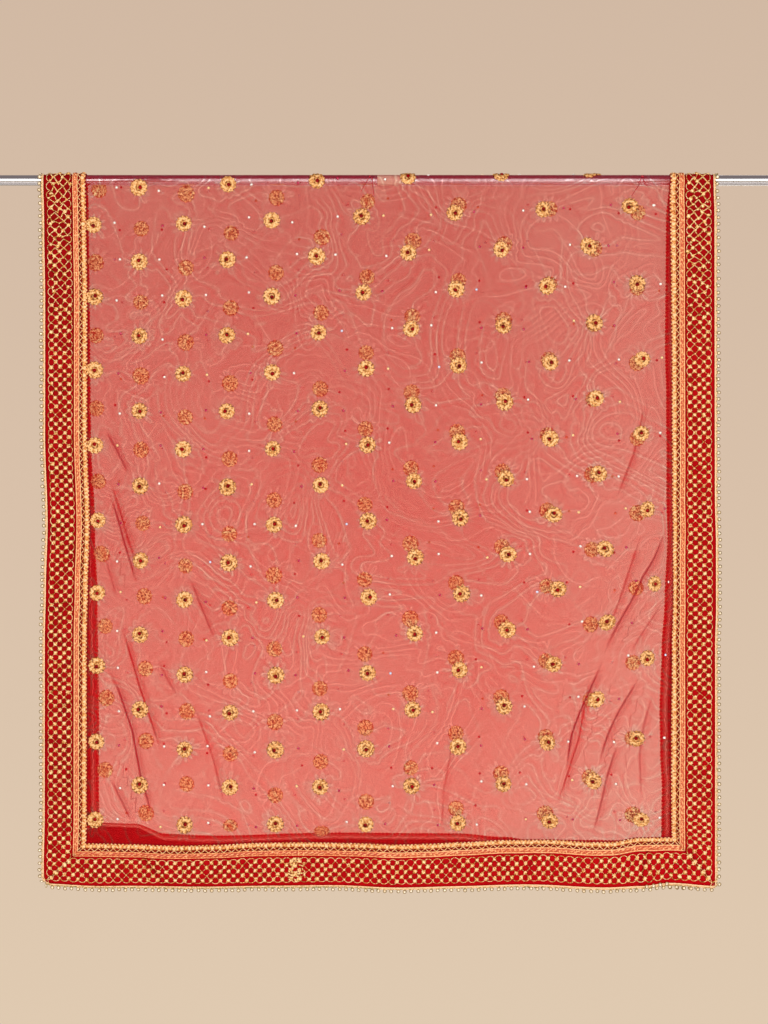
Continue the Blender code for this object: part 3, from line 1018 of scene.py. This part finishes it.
# The four runs of trim: start corner, heading along it and heading inwards, in the flat layout.
trimRuns = {
    "left": {"start": (-width / 2, 0.0), "along": (0, 1), "inward": (1, 0), "length": length},
    "right": {"start": (width / 2, 0.0), "along": (0, 1), "inward": (-1, 0), "length": length},
    "front_hem": {"start": (-width / 2, 0.0), "along": (1, 0), "inward": (0, 1), "length": width},
    "back_hem": {"start": (-width / 2, length), "along": (1, 0), "inward": (0, -1), "length": width},
}


def onRun(run, inset, along):
    start, ahead, inward = (np.array(run[key]) for key in ("start", "along", "inward"))
    return start + ahead * along + inward * inset


def replacedNodes(kind, runName):
    if runName.endswith("hem"):
        return (f"{kind}_{runName}",)
    return tuple(f"{kind}_{panel}_{runName}" for panel in ("front", "top", "back"))


def alongLines(runName, step):
    reach = trimRuns[runName]["length"]
    if runName.endswith("hem"):
        return list(np.linspace(0.0, reach, round(reach / step) + 1))
    return runLines(0.0, reach, step)


def mitred(run, inset, along):
    # both ends of a strip are cut on the corner's diagonal
    middle = run["length"] / 2
    return middle + (along - middle) * (1.0 - 2.0 * (inset + stole["seamGap"] / 2) / run["length"])


def stripCloth(runName, profile, step, wall, sink=0.0):
    # a strip of cloth along a run, its cross-section given as (inset, height) rows
    run, heights = trimRuns[runName], dict(profile)

    def place(inset, along):
        return (*onRun(run, inset, mitred(run, inset, along)), heights[inset] - sink)

    return gridCloth(list(heights), alongLines(runName, step), place, wall)


def addLocal(mesh, flat, run, start):
    # how far along the run, and how far in from the start, each corner lies
    away = flat[:, :2] - np.array(start)
    local = np.stack((away @ np.array(run["along"]), away @ np.array(run["inward"])), axis=1)
    addMap(mesh, "local", local[cornerVerts(mesh)])


borderStrip = {
    "step": 0.008,
    "wall": 0.0010,
    # (inset, height): plain margin, trellis band, groove, braid
    "profile": (
        (0.0000, 0.0013), (0.0045, 0.0015), (0.0065, 0.0023), (0.0140, 0.0025), (0.0215, 0.0025),
        (0.0290, 0.0025), (0.0365, 0.0025), (0.0430, 0.0023), (0.0462, 0.0015), (0.0480, 0.0018),
        (0.0510, 0.0021), (0.0545, 0.0018), (0.0560, 0.0014),
    ),
}


def buildBorders():
    settings = borderStrip
    insets, heights = np.array(settings["profile"]).T
    for runName, run in trimRuns.items():
        name = f"border_{runName}_strip"
        cloth = stripCloth(runName, settings["profile"], settings["step"], settings["wall"], settings["wall"])
        mesh, flat = hungMesh(name, cloth)
        markCreases(mesh, flat)
        # the inner face of the strip is painted darker, as painted shade
        fromEdge = (flat[:, :2] - np.array(run["start"])) @ np.array(run["inward"])
        below = flat[:, 2] - np.interp(fromEdge, insets, heights)
        addAttribute(mesh, "liningShade", (below < below.mean()).astype(float))
        border = newPiece(name, mesh, "border", replacedNodes("border", runName))
        "draped" if "hem" not in runName else "hung"
        ("rod_left", "rod_right") if "hem" not in runName else ("net_front_sheet", "net_back_sheet")
        stole["borderWidth"] * (run["length"] - stole["borderWidth"])
    print("borders hung")


def tileOf(shape):
    # a small shape's points and faces, to be repeated
    shape.verts.ensure_lookup_table()
    shape.verts.index_update()
    points = np.array([vert.co[:] for vert in shape.verts])
    faces = [[vert.index for vert in face.verts] for face in shape.faces]
    shape.free()
    return points, faces


def dome(segments, rings, squareness=0.0):
    shape = bmesh.new()
    bmesh.ops.create_uvsphere(shape, u_segments=segments, v_segments=rings, radius=0.5)
    for vert in shape.verts:
        stretch = 1.0 + squareness * math.cos(4.0 * math.atan2(vert.co.y, vert.co.x))
        vert.co.x *= stretch
        vert.co.y *= stretch
    return tileOf(shape)


def quarterTurn(shape, axis, hand=1):
    bmesh.ops.rotate(shape, verts=shape.verts, matrix=Matrix.Rotation(hand * math.pi / 2, 3, axis))


def cordTile(sides):
    # one unit long, along x
    shape = bmesh.new()
    bmesh.ops.create_cone(shape, cap_ends=True, segments=sides, radius1=0.5, radius2=0.5, depth=1.0)
    quarterTurn(shape, "Y")
    return tileOf(shape)


def loopTile():
    # half a ring of thread, bulging along x, one unit in radius
    shape = bmesh.new()
    bmesh.ops.create_circle(shape, cap_ends=False, segments=4, radius=0.10)
    quarterTurn(shape, "X")
    bmesh.ops.translate(shape, verts=shape.verts, vec=(1.0, 0.0, 0.0))
    quarterTurn(shape, "Z", -1)
    ring = shape.verts[:] + shape.edges[:]
    bmesh.ops.spin(shape, geom=ring, cent=(0, 0, 0), axis=(0, 0, 1), angle=math.pi, steps=5, use_merge=False)
    bmesh.ops.holes_fill(shape, edges=shape.edges)
    bmesh.ops.recalc_face_normals(shape, faces=shape.faces)
    return tileOf(shape)


def spot(place, height, turn=0.0, size=(1.0, 1.0, 1.0), tilt=(0.0, 0.0), tone=0.5):
    return (*place, height, turn, *size, *tilt, tone)


def strew(name, tile, spots, finish, replaced=()):
    # one mesh of the tile repeated at every spot of the flat layout, then hung
    points, faces = tile
    across, run, height, turn, long, wide, high, tiltX, tiltY, tone = np.array(spots).T[:, :, None]
    x, y = points[:, 0] * long, points[:, 1] * wide
    z = points[:, 2] * high + tiltX * x + tiltY * y
    flat = np.stack((
        across + x * np.cos(turn) - y * np.sin(turn),
        run + x * np.sin(turn) + y * np.cos(turn),
        height + z,
    ), axis=2).reshape(-1, 3)
    mesh = bpy.data.meshes.new(name)
    repeated = [[vert + copy * len(points) for vert in face] for copy in range(len(spots)) for face in faces]
    mesh.from_pydata(hang(flat), [], repeated)
    corners = cornerVerts(mesh)
    addMap(mesh, "flat", flat[corners, :2])
    addMap(mesh, "local", np.stack((x, y), axis=2).reshape(-1, 2)[corners])
    addAttribute(mesh, "tone", np.repeat(tone, len(points)))
    return newPiece(name, mesh, finish, replaced)


def heading(vector):
    return math.atan2(vector[1], vector[0])


def cordSpot(start, end, height, thick, tone):
    # a straight bit of thread between two flat points
    step = np.array(end) - np.array(start)
    middle = (np.array(start) + np.array(end)) / 2
    return spot(middle, height, heading(step), (math.hypot(*step), thick, thick), tone=tone)


def blend(pair, share):
    return pair[0] + (pair[1] - pair[0]) * share


def pairOf(dice, reach):
    return dice.uniform(-reach, reach), dice.uniform(-reach, reach)


trellis = {
    "firstInset": 0.0118,
    "columnPitch": 0.00695,
    "columns": 5,
    "rowPitch": 0.0069,
    # a knot is two short stitches crossed: (length, width, height)
    "stitch": (0.0080, 0.0054, 0.0028),
    "height": 0.0028,
    "tones": (0.1, 0.4, 0.7, 0.9, 1.1),
    # thicker threads and fewer full knots near the rod, up to this drop
    "openDrop": 0.36,
    "cord": (0.0019, 0.0008),
    "fullKnots": (0.42, 0.92),
    "jitter": (0.0018, 0.0005),
    "cornerGap": 0.0012,
    "loop": (0.0048, 0.0034),
    "pleatGap": 0.0013,
    "pleatStrength": 0.35,
    # one mended patch where the stitches lie thickly, on the front hem
    "patch": {
        "across": (-0.1415, -0.1165), "run": (0.0085, 0.0430), "stitches": 80,
        "long": (0.0045, 0.0070), "stitch": (0.0020, 0.0016), "lift": (0.0002, 0.0010),
    },
}


def crossedKnot(here, turn, size, tone, dice):
    long, wide, high = size
    height = trellis["height"]
    tilts = [pairOf(dice, 0.25) for _ in range(2)]
    upper = (long * 0.9, wide * 0.9, high)
    return [
        spot(here, height, turn, (long, wide, high), tilts[0], tone),
        spot(here, height + 0.0004, turn + math.pi / 2, upper, tilts[1], dice.uniform(0.3, 1.0)),
    ]


def edgeLoop(base, outward, pitch, closed, dice):
    # a loop round the edge from the knot below to the knot above
    reach, thick = trellis["loop"]
    size = (reach * dice.uniform(0.92, 1.12), pitch * 0.92, thick * dice.uniform(0.7, 1.2))
    tone = dice.uniform(-0.3, 0.8 - 0.2 * closed)
    return spot(base, trellis["height"] - 0.0003, heading(outward), size, tone=tone)


def patchStitches(dice):
    patch = trellis["patch"]
    stitches = []
    for _ in range(patch["stitches"]):
        size = (dice.uniform(*patch["long"]), *patch["stitch"])
        place = (dice.uniform(*patch["across"]), dice.uniform(*patch["run"]))
        height = trellis["height"] + dice.uniform(*patch["lift"])
        stitches.append(spot(place, height, dice.uniform(0, math.pi), size, tone=dice.uniform(0.2, 0.9)))
    return stitches


def offPleats(spots):
    # the pleats hide the stitches along their fold
    gap, strength = creasesAt(np.array(spots)[:, :2])
    hidden = (np.abs(gap) < trellis["pleatGap"]) & (strength > trellis["pleatStrength"])
    return [place for place, gone in zip(spots, hidden) if not gone]


def trellisRow(runName, row, pitch, sewn, dice):
    settings, run = trellis, trimRuns[runName]
    edges = (-1, settings["columns"])
    along = row * pitch
    drop = stole["panelDrop"] if runName.endswith("hem") else abs(along - length / 2)
    closed = eased(drop / settings["openDrop"])
    jitter = blend(settings["jitter"], closed)
    for column in range(-1, settings["columns"] + 1):
        inset = settings["firstInset"] + column * settings["columnPitch"]
        margin = inset + settings["cornerGap"]
        if (column + row) % 2 or not margin < along < run["length"] - inset - settings["cornerGap"]:
            continue
        if column in edges:
            outward = -1 if column == -1 else 1
            base = onRun(run, inset - outward * settings["columnPitch"], along)
            sewn["loops"].append(edgeLoop(base, np.array(run["inward"]) * outward, pitch, closed, dice))
            continue
        here = onRun(run, inset + dice.gauss(0, jitter), along + dice.gauss(0, jitter))
        full = 1.0 if dice.random() < blend(settings["fullKnots"], closed) else dice.uniform(0.35, 0.7)
        size = [part * full * dice.uniform(0.85, 1.1) for part in settings["stitch"]]
        turn = math.pi / 4 + dice.uniform(-0.5, 0.5)
        sewn["knots"] += crossedKnot(here, turn, size, dice.choice(settings["tones"]), dice)
        for sideways in (-1, 1):
            nextInset = inset + sideways * settings["columnPitch"]
            reached = nextInset < along + pitch < run["length"] - nextInset
            if column + sideways in edges or not reached:
                continue
            there = onRun(run, nextInset, along + pitch)
            height = settings["height"] + dice.uniform(-0.0001, 0.0004)
            thick = blend(settings["cord"], closed) * dice.uniform(0.8, 1.15)
            tone = dice.uniform(0.1 - 0.4 * closed, 1.0 - 0.6 * closed)
            sewn["cords"].append(cordSpot(here, there, height, thick, tone))


def buildTrellis():
    dice = random.Random(5)
    tiles = {"knots": dome(6, 4, 0.05), "cords": cordTile(4), "loops": loopTile()}
    for runName, run in trimRuns.items():
        sewn = {kind: [] for kind in tiles}
        rows = round(run["length"] / trellis["rowPitch"])
        for row in range(rows + 1):
            trellisRow(runName, row, run["length"] / rows, sewn, dice)
        if runName == "front_hem":
            sewn["knots"] += patchStitches(dice)
        sewn["knots"] = offPleats(sewn["knots"])
        for kind, tile in tiles.items():
            strew(f"trellis_{kind}_{runName}", tile, sewn[kind], "trellis")
    print("trellis sewn")


cordStep = 0.006


def layCord(name, runName, cord, finish, replaced=()):
    # a cord along a run, rolled up from a flat grid, and flattened where it is sewn down
    run = trimRuns[runName]
    lines = alongLines(runName, cordStep)
    rolled = bmesh.new()
    bmesh.ops.create_grid(rolled, x_segments=cord.get("sides", 6), y_segments=len(lines) - 1, size=0.5)
    for vert in rolled.verts:
        angle = (vert.co.x + 0.5) * math.tau
        along = mitred(run, max(cord["inset"], 0.0), lines[round((vert.co.y + 0.5) * (len(lines) - 1))])
        across, up = onRun(run, cord["inset"] + cord["radius"] * math.cos(angle), along)
        vert.co = (across, up, cord["height"] + cord.get("flat", 1.0) * cord["radius"] * math.sin(angle))
    bmesh.ops.remove_doubles(rolled, verts=rolled.verts, dist=1e-6)
    bmesh.ops.holes_fill(rolled, edges=rolled.edges)
    bmesh.ops.recalc_face_normals(rolled, faces=rolled.faces)
    mesh, flat = hungMesh(name, rolled)
    addLocal(mesh, flat, run, (0.0, 0.0))
    addAttribute(mesh, "tone", np.full(len(flat), cord["tone"]))
    newPiece(name, mesh, finish, replaced)


braid = {
    # long strokes lie slantwise over a darker bed, a little apart
    "strokeInset": 0.0516,
    "slant": 0.34,
    "pitch": 0.0088,
    "endGap": 0.003,
    "stitch": (0.0126, 0.0019, 0.0018),
    "height": 0.0036,
    "tones": (0.6, 0.8, 1.0, 1.2),
    "cords": {
        "edge_outer": {"inset": 0.0483, "radius": 0.0009, "height": 0.0030, "tone": 0.95},
        "edge_inner": {"inset": 0.0549, "radius": 0.0009, "height": 0.0030, "tone": 0.95},
        "bed": {"inset": 0.0516, "radius": 0.0034, "height": 0.0028, "flat": 0.30, "tone": -0.4},
    },
}


def buildBraid():
    settings = braid
    dice = random.Random(11)
    stitch = dome(5, 3)
    for runName, run in trimRuns.items():
        stitches = []
        inset = settings["strokeInset"]
        along = inset + settings["endGap"]
        handed = run["along"][0] * run["inward"][1] - run["along"][1] * run["inward"][0]
        while along < run["length"] - inset - settings["endGap"]:
            here = onRun(run, inset + dice.uniform(-0.0003, 0.0003), along)
            turn = heading(run["along"]) + handed * settings["slant"] * dice.uniform(0.75, 1.25)
            size = [part * dice.uniform(0.88, 1.08) for part in settings["stitch"]]
            tone = dice.choice(settings["tones"])
            stitches.append(spot(here, settings["height"], turn, size, tone=tone))
            along += settings["pitch"] * dice.uniform(0.9, 1.1)
        for kind, cord in settings["cords"].items():
            layCord(f"braid_{kind}_{runName}", runName, cord, "braid")
        strew(f"braid_stitches_{runName}", stitch, stitches, "braid")
    print("braid sewn")


lace = {
    "pitch": lacePitch,
    "zigzag": (0.0556, 0.0606),
    "thread": 0.0014,
    "knotInset": 0.0635,
    # each knot: (across the lace, along it, height)
    "knots": ((0.0078, 0.0070, 0.0034), (0.0072, 0.0056, 0.0026)),
    # two stitches leaning to each side make one knot
    "leans": (-0.6, 0.6),
    "stitchShare": 0.78,
    "picot": {"inset": 0.0668, "size": (0.0030, 0.0042, 0.0020), "height": 0.0022},
    "scallop": {"inset": 0.0664, "size": (0.0064, 0.0066, 0.0012), "height": 0.0010},
    "bed": {"inset": 0.0634, "radius": 0.0032, "height": 0.0023, "flat": 0.25, "tone": 0.0},
    # the sewing thread shows on the inner side as a row of crossing dashes
    "seam": {
        "inset": 0.0592, "spread": 0.0016, "stitch": (0.0038, 0.0013, 0.0008),
        "height": -0.0006, "pitch": 0.0021,
    },
    "height": 0.0030,
    "tape": ((0.0562, 0.0014), (0.0600, 0.0016), (0.0662, 0.0014)),
    "tapeWall": 0.0005,
    "tapeStep": 0.008,
}


def laceStep(run, step, along, pitch, knots, threads, scallops, dice):
    settings = lace
    outer, inner = settings["zigzag"]
    picot, scallop = settings["picot"], settings["scallop"]
    size = [part * dice.uniform(0.9, 1.08) for part in settings["knots"][step % 2]]
    tone = dice.uniform(0.8, 1.1) if step % 2 == 0 else dice.uniform(0.1, 0.6)
    place = onRun(run, settings["knotInset"] + dice.uniform(-0.0004, 0.0004), along)
    for lean in settings["leans"]:
        turn = heading(run["inward"]) + lean + dice.uniform(-0.25, 0.25)
        tilt = pairOf(dice, 0.2)
        shape = (size[0], size[1] * settings["stitchShare"], size[2])
        knots.append(spot(place, settings["height"], turn, shape, tilt, tone + dice.uniform(-0.25, 0.25)))
    # a small stitch leans out over the net, and the tape is scalloped under it
    tip = onRun(run, picot["inset"], along + 0.5 * pitch)
    turn = heading(run["inward"]) + dice.uniform(-0.3, 0.3)
    knots.append(spot(tip, picot["height"], turn, picot["size"], tone=dice.uniform(0.1, 0.8)))
    edge = onRun(run, scallop["inset"], along)
    scallops.append(spot(edge, scallop["height"], heading(run["inward"]), scallop["size"]))
    # the zigzag turns once at every knot
    for turn in (-1, 1) if step % 2 == 0 else ():
        start, end = onRun(run, inner, along), onRun(run, outer, along + turn * pitch)
        threads.append(cordSpot(start, end, settings["height"], settings["thread"], dice.uniform(0.6, 1.1)))


def seamDashes(run, dice):
    seam, dashes = lace["seam"], []
    for along in np.arange(seam["inset"], run["length"] - seam["inset"], seam["pitch"]):
        aside = seam["inset"] + dice.uniform(-seam["spread"], seam["spread"])
        size = [part * dice.uniform(0.7, 1.2) for part in seam["stitch"]]
        turn = heading(run["along"]) + dice.uniform(-0.7, 0.7)
        dashes.append(spot(onRun(run, aside, along), seam["height"], turn, size))
    return dashes


def layTape(runName, run):
    settings = lace
    name = f"lace_tape_{runName}"
    tape = stripCloth(runName, settings["tape"], settings["tapeStep"], settings["tapeWall"])
    tape.normal_update()
    flipped = tape.calc_volume(signed=True) < 0
    for face in tape.faces:
        face.material_index = int((face.normal.z < -0.5) != flipped)
    mesh, flat = hungMesh(name, tape)
    addLocal(mesh, flat, run, run["start"])
    newPiece(name, mesh, "tape")
    mesh.materials.append(finishes["tapeBack"])


def buildLace():
    settings = lace
    dice = random.Random(17)
    knot, cord = dome(7, 4), cordTile(4)
    for runName, run in trimRuns.items():
        knots, threads, scallops = [], [], []
        inset = settings["knotInset"]
        count = round((run["length"] - 2 * inset) / settings["pitch"])
        pitch = (run["length"] - 2 * inset) / count
        for step in range(count + 1):
            laceStep(run, step, inset + step * pitch, pitch, knots, threads, scallops, dice)
        dashes = seamDashes(run, dice)
        for kind, tile, spots, finish, replaced in (
            ("knots", knot, knots, "lace", replacedNodes("lace", runName)),
            ("zigzag", cord, threads, "lace", ()),
            ("scallops", dome(6, 3), scallops, "scallop", ()),
            ("seam", dome(4, 3), dashes, "seam", ()),
        ):
            strew(f"lace_{kind}_{runName}", tile, spots, finish, replaced)
        layTape(runName, run)
        layCord(f"lace_bed_{runName}", runName, settings["bed"], "lace")
    print("lace sewn")


edging = {
    "cord": {"inset": 0.0010, "radius": 0.0010, "height": 0.0016, "tone": 0.85},
    "thread": {"inset": -0.0010, "radius": 0.0008, "height": 0.0013, "tone": 0.0, "sides": 4},
    "height": 0.0016,
    "beadInset": -0.0042,
    "beadPitch": 0.0104,
    "endGaps": (0.004, 0.003),
    "bead": (0.0043, 0.0043, 0.0036),
    "beadLift": 0.0006,
    "cup": (0.0062, 0.0062, 0.0018),
    # a second bead beside each one, between these places across the front hem
    "doubled": (0.409, 0.453),
    "second": {"inset": 0.0052, "along": 0.005, "lift": 0.0012},
}


def buildEdging():
    settings = edging
    dice = random.Random(23)
    bead, cup = dome(7, 4), dome(8, 4)
    beadLift, second = settings["beadLift"], settings["second"]
    for runName, run in trimRuns.items():
        beads, cups = [], []
        startGap, endGap = settings["endGaps"]
        inset, height = settings["beadInset"], settings["height"]
        along = startGap
        while along < run["length"] - endGap:
            place = onRun(run, inset + dice.uniform(-0.0006, 0.0006), along)
            tilt = pairOf(dice, 0.3)
            cups.append(spot(place, height, 0.0, settings["cup"], tilt, dice.uniform(0, 1)))
            beads.append(spot(place, height + beadLift, 0.0, settings["bead"], tilt, dice.uniform(0, 1)))
            if runName == "front_hem" and settings["doubled"][0] < place[0] < settings["doubled"][1]:
                place = onRun(run, inset + second["inset"], along + second["along"])
                lifted = height + second["lift"]
                cups.append(spot(place, lifted, 0.0, settings["cup"], tilt))
                beads.append(spot(place, lifted + beadLift, 0.0, settings["bead"], tilt))
            along += settings["beadPitch"] * dice.uniform(0.9, 1.1)
        nodes = replacedNodes("edging", runName)
        layCord(f"edging_cord_{runName}", runName, settings["cord"], "edging", nodes)
        layCord(f"edging_thread_{runName}", runName, settings["thread"], "edging")
        strew(f"edging_beads_{runName}", bead, beads, "bead")
        strew(f"edging_cups_{runName}", cup, cups, "beadCup")
    print("edging sewn")


def turned(outline, axis, steps):
    # an outline of (x, z) points turned all the way round an axis
    shape = bmesh.new()
    points = [shape.verts.new((x, 0.0, z)) for x, z in outline]
    edges = [shape.edges.new(pair) for pair in zip(points[:-1], points[1:])]
    line = points + edges
    bmesh.ops.spin(shape, geom=line, cent=(0, 0, 0), axis=axis, angle=math.tau, steps=steps, use_merge=True)
    bmesh.ops.remove_doubles(shape, verts=shape.verts, dist=1e-6)
    bmesh.ops.recalc_face_normals(shape, faces=shape.faces)
    return shape


def flowerTile():
    steps = 2 * flower["lobes"]
    shape = turned(flower["outline"], (0, 0, 1), steps)
    for vert in shape.verts:
        radius = math.hypot(vert.co.x, vert.co.y)
        step = round(math.atan2(vert.co.y, vert.co.x) / math.tau * steps)
        lobe = flower["lobeDepth"] * (1.0 if step % 2 == 0 else -1.0) * eased(radius / flower["lobeStart"])
        vert.co.x *= 1.0 + lobe
        vert.co.y *= 1.0 + lobe
        vert.co.z *= 1.0 + flower["lobeRise"] * lobe
    return tileOf(shape)


def sequinTile():
    disc = bmesh.new()
    wide, narrow = flower["sequinRadii"]
    bmesh.ops.create_cone(disc, cap_ends=True, segments=8, radius1=wide, radius2=narrow, depth=0.0005)
    return tileOf(disc)


def buildFlowers():
    settings = flower
    dice = random.Random(41)
    petals, stone, sequin = flowerTile(), dome(8, 5), sequinTile()
    # the lower half of each flower's turned outline is its sewing side
    middles = np.array([np.mean(petals[0][face, 2]) for face in petals[1]])
    sewingSide = (middles < settings["sewingSide"]).astype(np.int32)
    lift = netSheet["height"] + stole["netWall"]
    for name, side in (("front", front), ("back", back)):
        flowers, stones, sequins = [], [], []
        for across, drop in flowerPlaces(side):
            run = stole["panelDrop"] - drop if side == front else stole["panelDrop"] + halfTurn + drop
            grown, turn = dice.uniform(0.955, 1.05), dice.uniform(0, math.tau)
            size = (grown, grown * dice.uniform(0.95, 1.03), 1.0)
            flowers.append(spot((across, run), lift, turn, size, tone=dice.uniform(0, 1)))
            away, angle = dice.uniform(0.2, 1.0) * settings["stoneOffset"], dice.uniform(0, math.tau)
            place = (across + away * math.cos(angle), run + away * math.sin(angle))
            stones.append(spot(place, lift + settings["stoneLift"], 0.0, settings["stone"]))
            for hand in (-1, 1):
                aside = across + hand * dice.uniform(*settings["sequinReach"])
                if abs(aside) > netHalf - settings["sequinMargin"]:
                    continue
                tilt = pairOf(dice, 0.2)
                place = (aside, run + dice.uniform(-0.006, 0.006))
                tone = dice.uniform(0, 1)
                sequins.append(spot(place, lift + settings["sequinLift"], tilt=tilt, tone=tone))
        sewn = strew(f"flowers_{name}", petals, flowers, "flower").data
        sewn.materials.append(finishes["flowerBack"])
        sewn.polygons.foreach_set("material_index", np.tile(sewingSide, len(flowers)))
        strew(f"stones_{name}", stone, stones, "stone")
        strew(f"sequins_{name}", sequin, sequins, "sequin")
    print("flowers sewn")


# Threads pulled out of the net just under the rod, as (across, drop) routes.
pulledThreads = {
    "routes": (
        ((-0.0150, -0.0045), (-0.0200, 0.0030), (-0.0245, 0.0110), (-0.0290, 0.0190)),
        ((-0.0118, -0.0010), (-0.0105, 0.0100), (-0.0086, 0.0250)),
        ((0.4226, -0.0050), (0.4195, 0.0080), (0.4150, 0.0190), (0.4130, 0.0260)),
        ((0.4236, -0.0040), (0.4256, 0.0060), (0.4290, 0.0100), (0.4330, 0.0085)),
    ),
    "thick": 0.0009,
    "height": 0.0012,
    "knot": 0.0022,
    "knotHeight": 0.0014,
}


def buildPulledThreads():
    settings = pulledThreads
    spots = []
    for route in settings["routes"]:
        places = [(across, stole["panelDrop"] - drop) for across, drop in route]
        for start, end in zip(places[:-1], places[1:]):
            spots.append(cordSpot(start, end, settings["height"], settings["thick"], 0.5))
        spots.append(spot(places[0], settings["knotHeight"], size=(settings["knot"],) * 3))
    strew("pulled_threads", cordTile(6), spots, "pulledThread")


rod = {
    "radius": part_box("rod_left")[1].z,
    "wall": 0.0012,
    "recess": 0.030,
    "chamfer": 0.0004,
    "sides": 48,
    "sharpAngle": 30,
}


def turnedRod(name, outline, finish):
    # an outline of (place along, radius) turned about the rod's axis
    shape = turned(outline, (1, 0, 0), rod["sides"])
    mesh = bpy.data.meshes.new(name)
    shape.to_mesh(mesh)
    shape.free()
    newPiece(f"{name}_tube", mesh, finish, (name,))
    mesh.set_sharp_from_angle(angle=math.radians(rod["sharpAngle"]))


def buildRod():
    radius, chamfer = rod["radius"], rod["chamfer"]
    shoulder, bore = radius - chamfer, radius - rod["wall"]
    for name in ("rod_left", "rod_right"):
        low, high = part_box(name)[0].x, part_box(name)[1].x
        joint, end = (high, low) if name == "rod_left" else (low, high)
        inwards = 1 if end < joint else -1
        recess = end + inwards * rod["recess"]
        outline = (
            (recess, 0.0), (recess, bore), (end, bore), (end, shoulder), (end + inwards * chamfer, radius),
            (joint - inwards * chamfer, radius), (joint, shoulder), (joint, 0.0),
        )
        turnedRod(name, outline, "chrome")
    low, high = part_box("rod_sleeve")[0].x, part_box("rod_sleeve")[1].x
    outline = (
        (low, 0.0), (low, shoulder), (low + chamfer, radius),
        (high - chamfer, radius), (high, shoulder), (high, 0.0),
    )
    turnedRod("rod_sleeve", outline, "sleeve")
    print("rod turned")


buildRod()
buildNet()
buildBorders()
buildTrellis()
buildBraid()
buildLace()
buildEdging()
buildFlowers()
buildPulledThreads()


studio = {
    # colours below, level with and above the eye, and how far from level the outer two are reached
    "seen": ((0.745, 0.592, 0.440), (0.694, 0.533, 0.402), (0.640, 0.485, 0.370)),
    "seenReach": 0.14,
    "glow": ((0.46, 0.38, 0.29), (0.34, 0.32, 0.29), (0.22, 0.185, 0.19)),
    "glowReach": 0.32,
    "lamps": {
        "keyLeft": {"at": (-1.75, -3.2, -0.05), "size": (1.9, 2.4), "power": 55.0},
        "keyRight": {"at": (1.95, -3.2, -0.05), "size": (1.9, 2.4), "power": 53.0},
        "fill": {"at": (0.1, -3.4, -0.35), "size": (1.7, 4.2), "power": 50.0},
        "behind": {"at": (0.2, 3.2, 0.3), "size": (2.4, 2.0), "power": 40.0},
    },
    "target": (0.0, 0.0, -0.55),
    "floor": {"height": -1.9, "halfSide": 1.9, "cells": 8},
    "camera": {"at": (0.0071, -2.814, -0.5211), "lens": 62.95},
}


def softBox(name, settings):
    lamp = bpy.data.lights.new(name, "AREA")
    lamp.shape = "RECTANGLE"
    lamp.size, lamp.size_y = settings["size"]
    lamp.energy = settings["power"]
    placed = bpy.data.objects.new(name, lamp)
    bpy.context.scene.collection.objects.link(placed)
    placed.location = settings["at"]
    placed.rotation_euler = (Vector(studio["target"]) - placed.location).to_track_quat("-Z", "Y").to_euler()
    placed.visible_camera = False


def buildWorld():
    world = bpy.data.worlds.new("studio")
    bpy.context.scene.world = world
    world.use_nodes = True
    tree = world.node_tree
    up = axes(addNode(tree, "TexCoord", {}, output="Generated"))[2]
    height = remap(up, -1.0, 1.0)
    skies = []
    for name in ("seen", "glow"):
        reach = studio[f"{name}Reach"]
        skies.append(colourRamp(height, list(zip((0.5 - reach, 0.5, 0.5 + reach), studio[name]))))
    seen = tree.nodes["Background"]
    skies[0].feed(seen.inputs["Color"])
    glow = addNode(tree, "Background", {"Color": skies[1]})
    toCamera = addNode(tree, "LightPath", {}, output="Is Camera Ray")
    mixed = addNode(tree, "MixShader", {0: toCamera, 1: glow, 2: Value(seen.outputs[0])})
    mixed.feed(tree.nodes["World Output"].inputs["Surface"])


def buildFloor():
    settings = studio["floor"]
    cells = settings["cells"]
    floor = bmesh.new()
    bmesh.ops.create_grid(floor, x_segments=cells, y_segments=cells, size=settings["halfSide"])
    bmesh.ops.translate(floor, verts=floor.verts, vec=(0.0, 0.0, settings["height"]))
    mesh = bpy.data.meshes.new("floor")
    floor.to_mesh(mesh)
    floor.free()
    pale, paler = (0.88, 0.82, 0.78), (0.92, 0.87, 0.83)
    mesh.materials.append(plainMaterial("floor_pale", pale, paler, 4.0, {"Roughness": 0.9}, 0.02))
    ground = bpy.data.objects.new("floor", mesh)
    bpy.context.scene.collection.objects.link(ground)


def buildStudio():
    scene = bpy.context.scene
    buildWorld()
    for name, settings in studio["lamps"].items():
        softBox(name, settings)
    buildFloor()
    camera = bpy.data.objects.new("camera", bpy.data.cameras.new("camera"))
    scene.collection.objects.link(camera)
    camera.location = studio["camera"]["at"]
    camera.rotation_euler = (math.pi / 2, 0.0, 0.0)
    camera.data.lens = studio["camera"]["lens"]
    scene.camera = camera
    scene.view_settings.view_transform = "Standard"
    print("studio lit")


buildStudio()
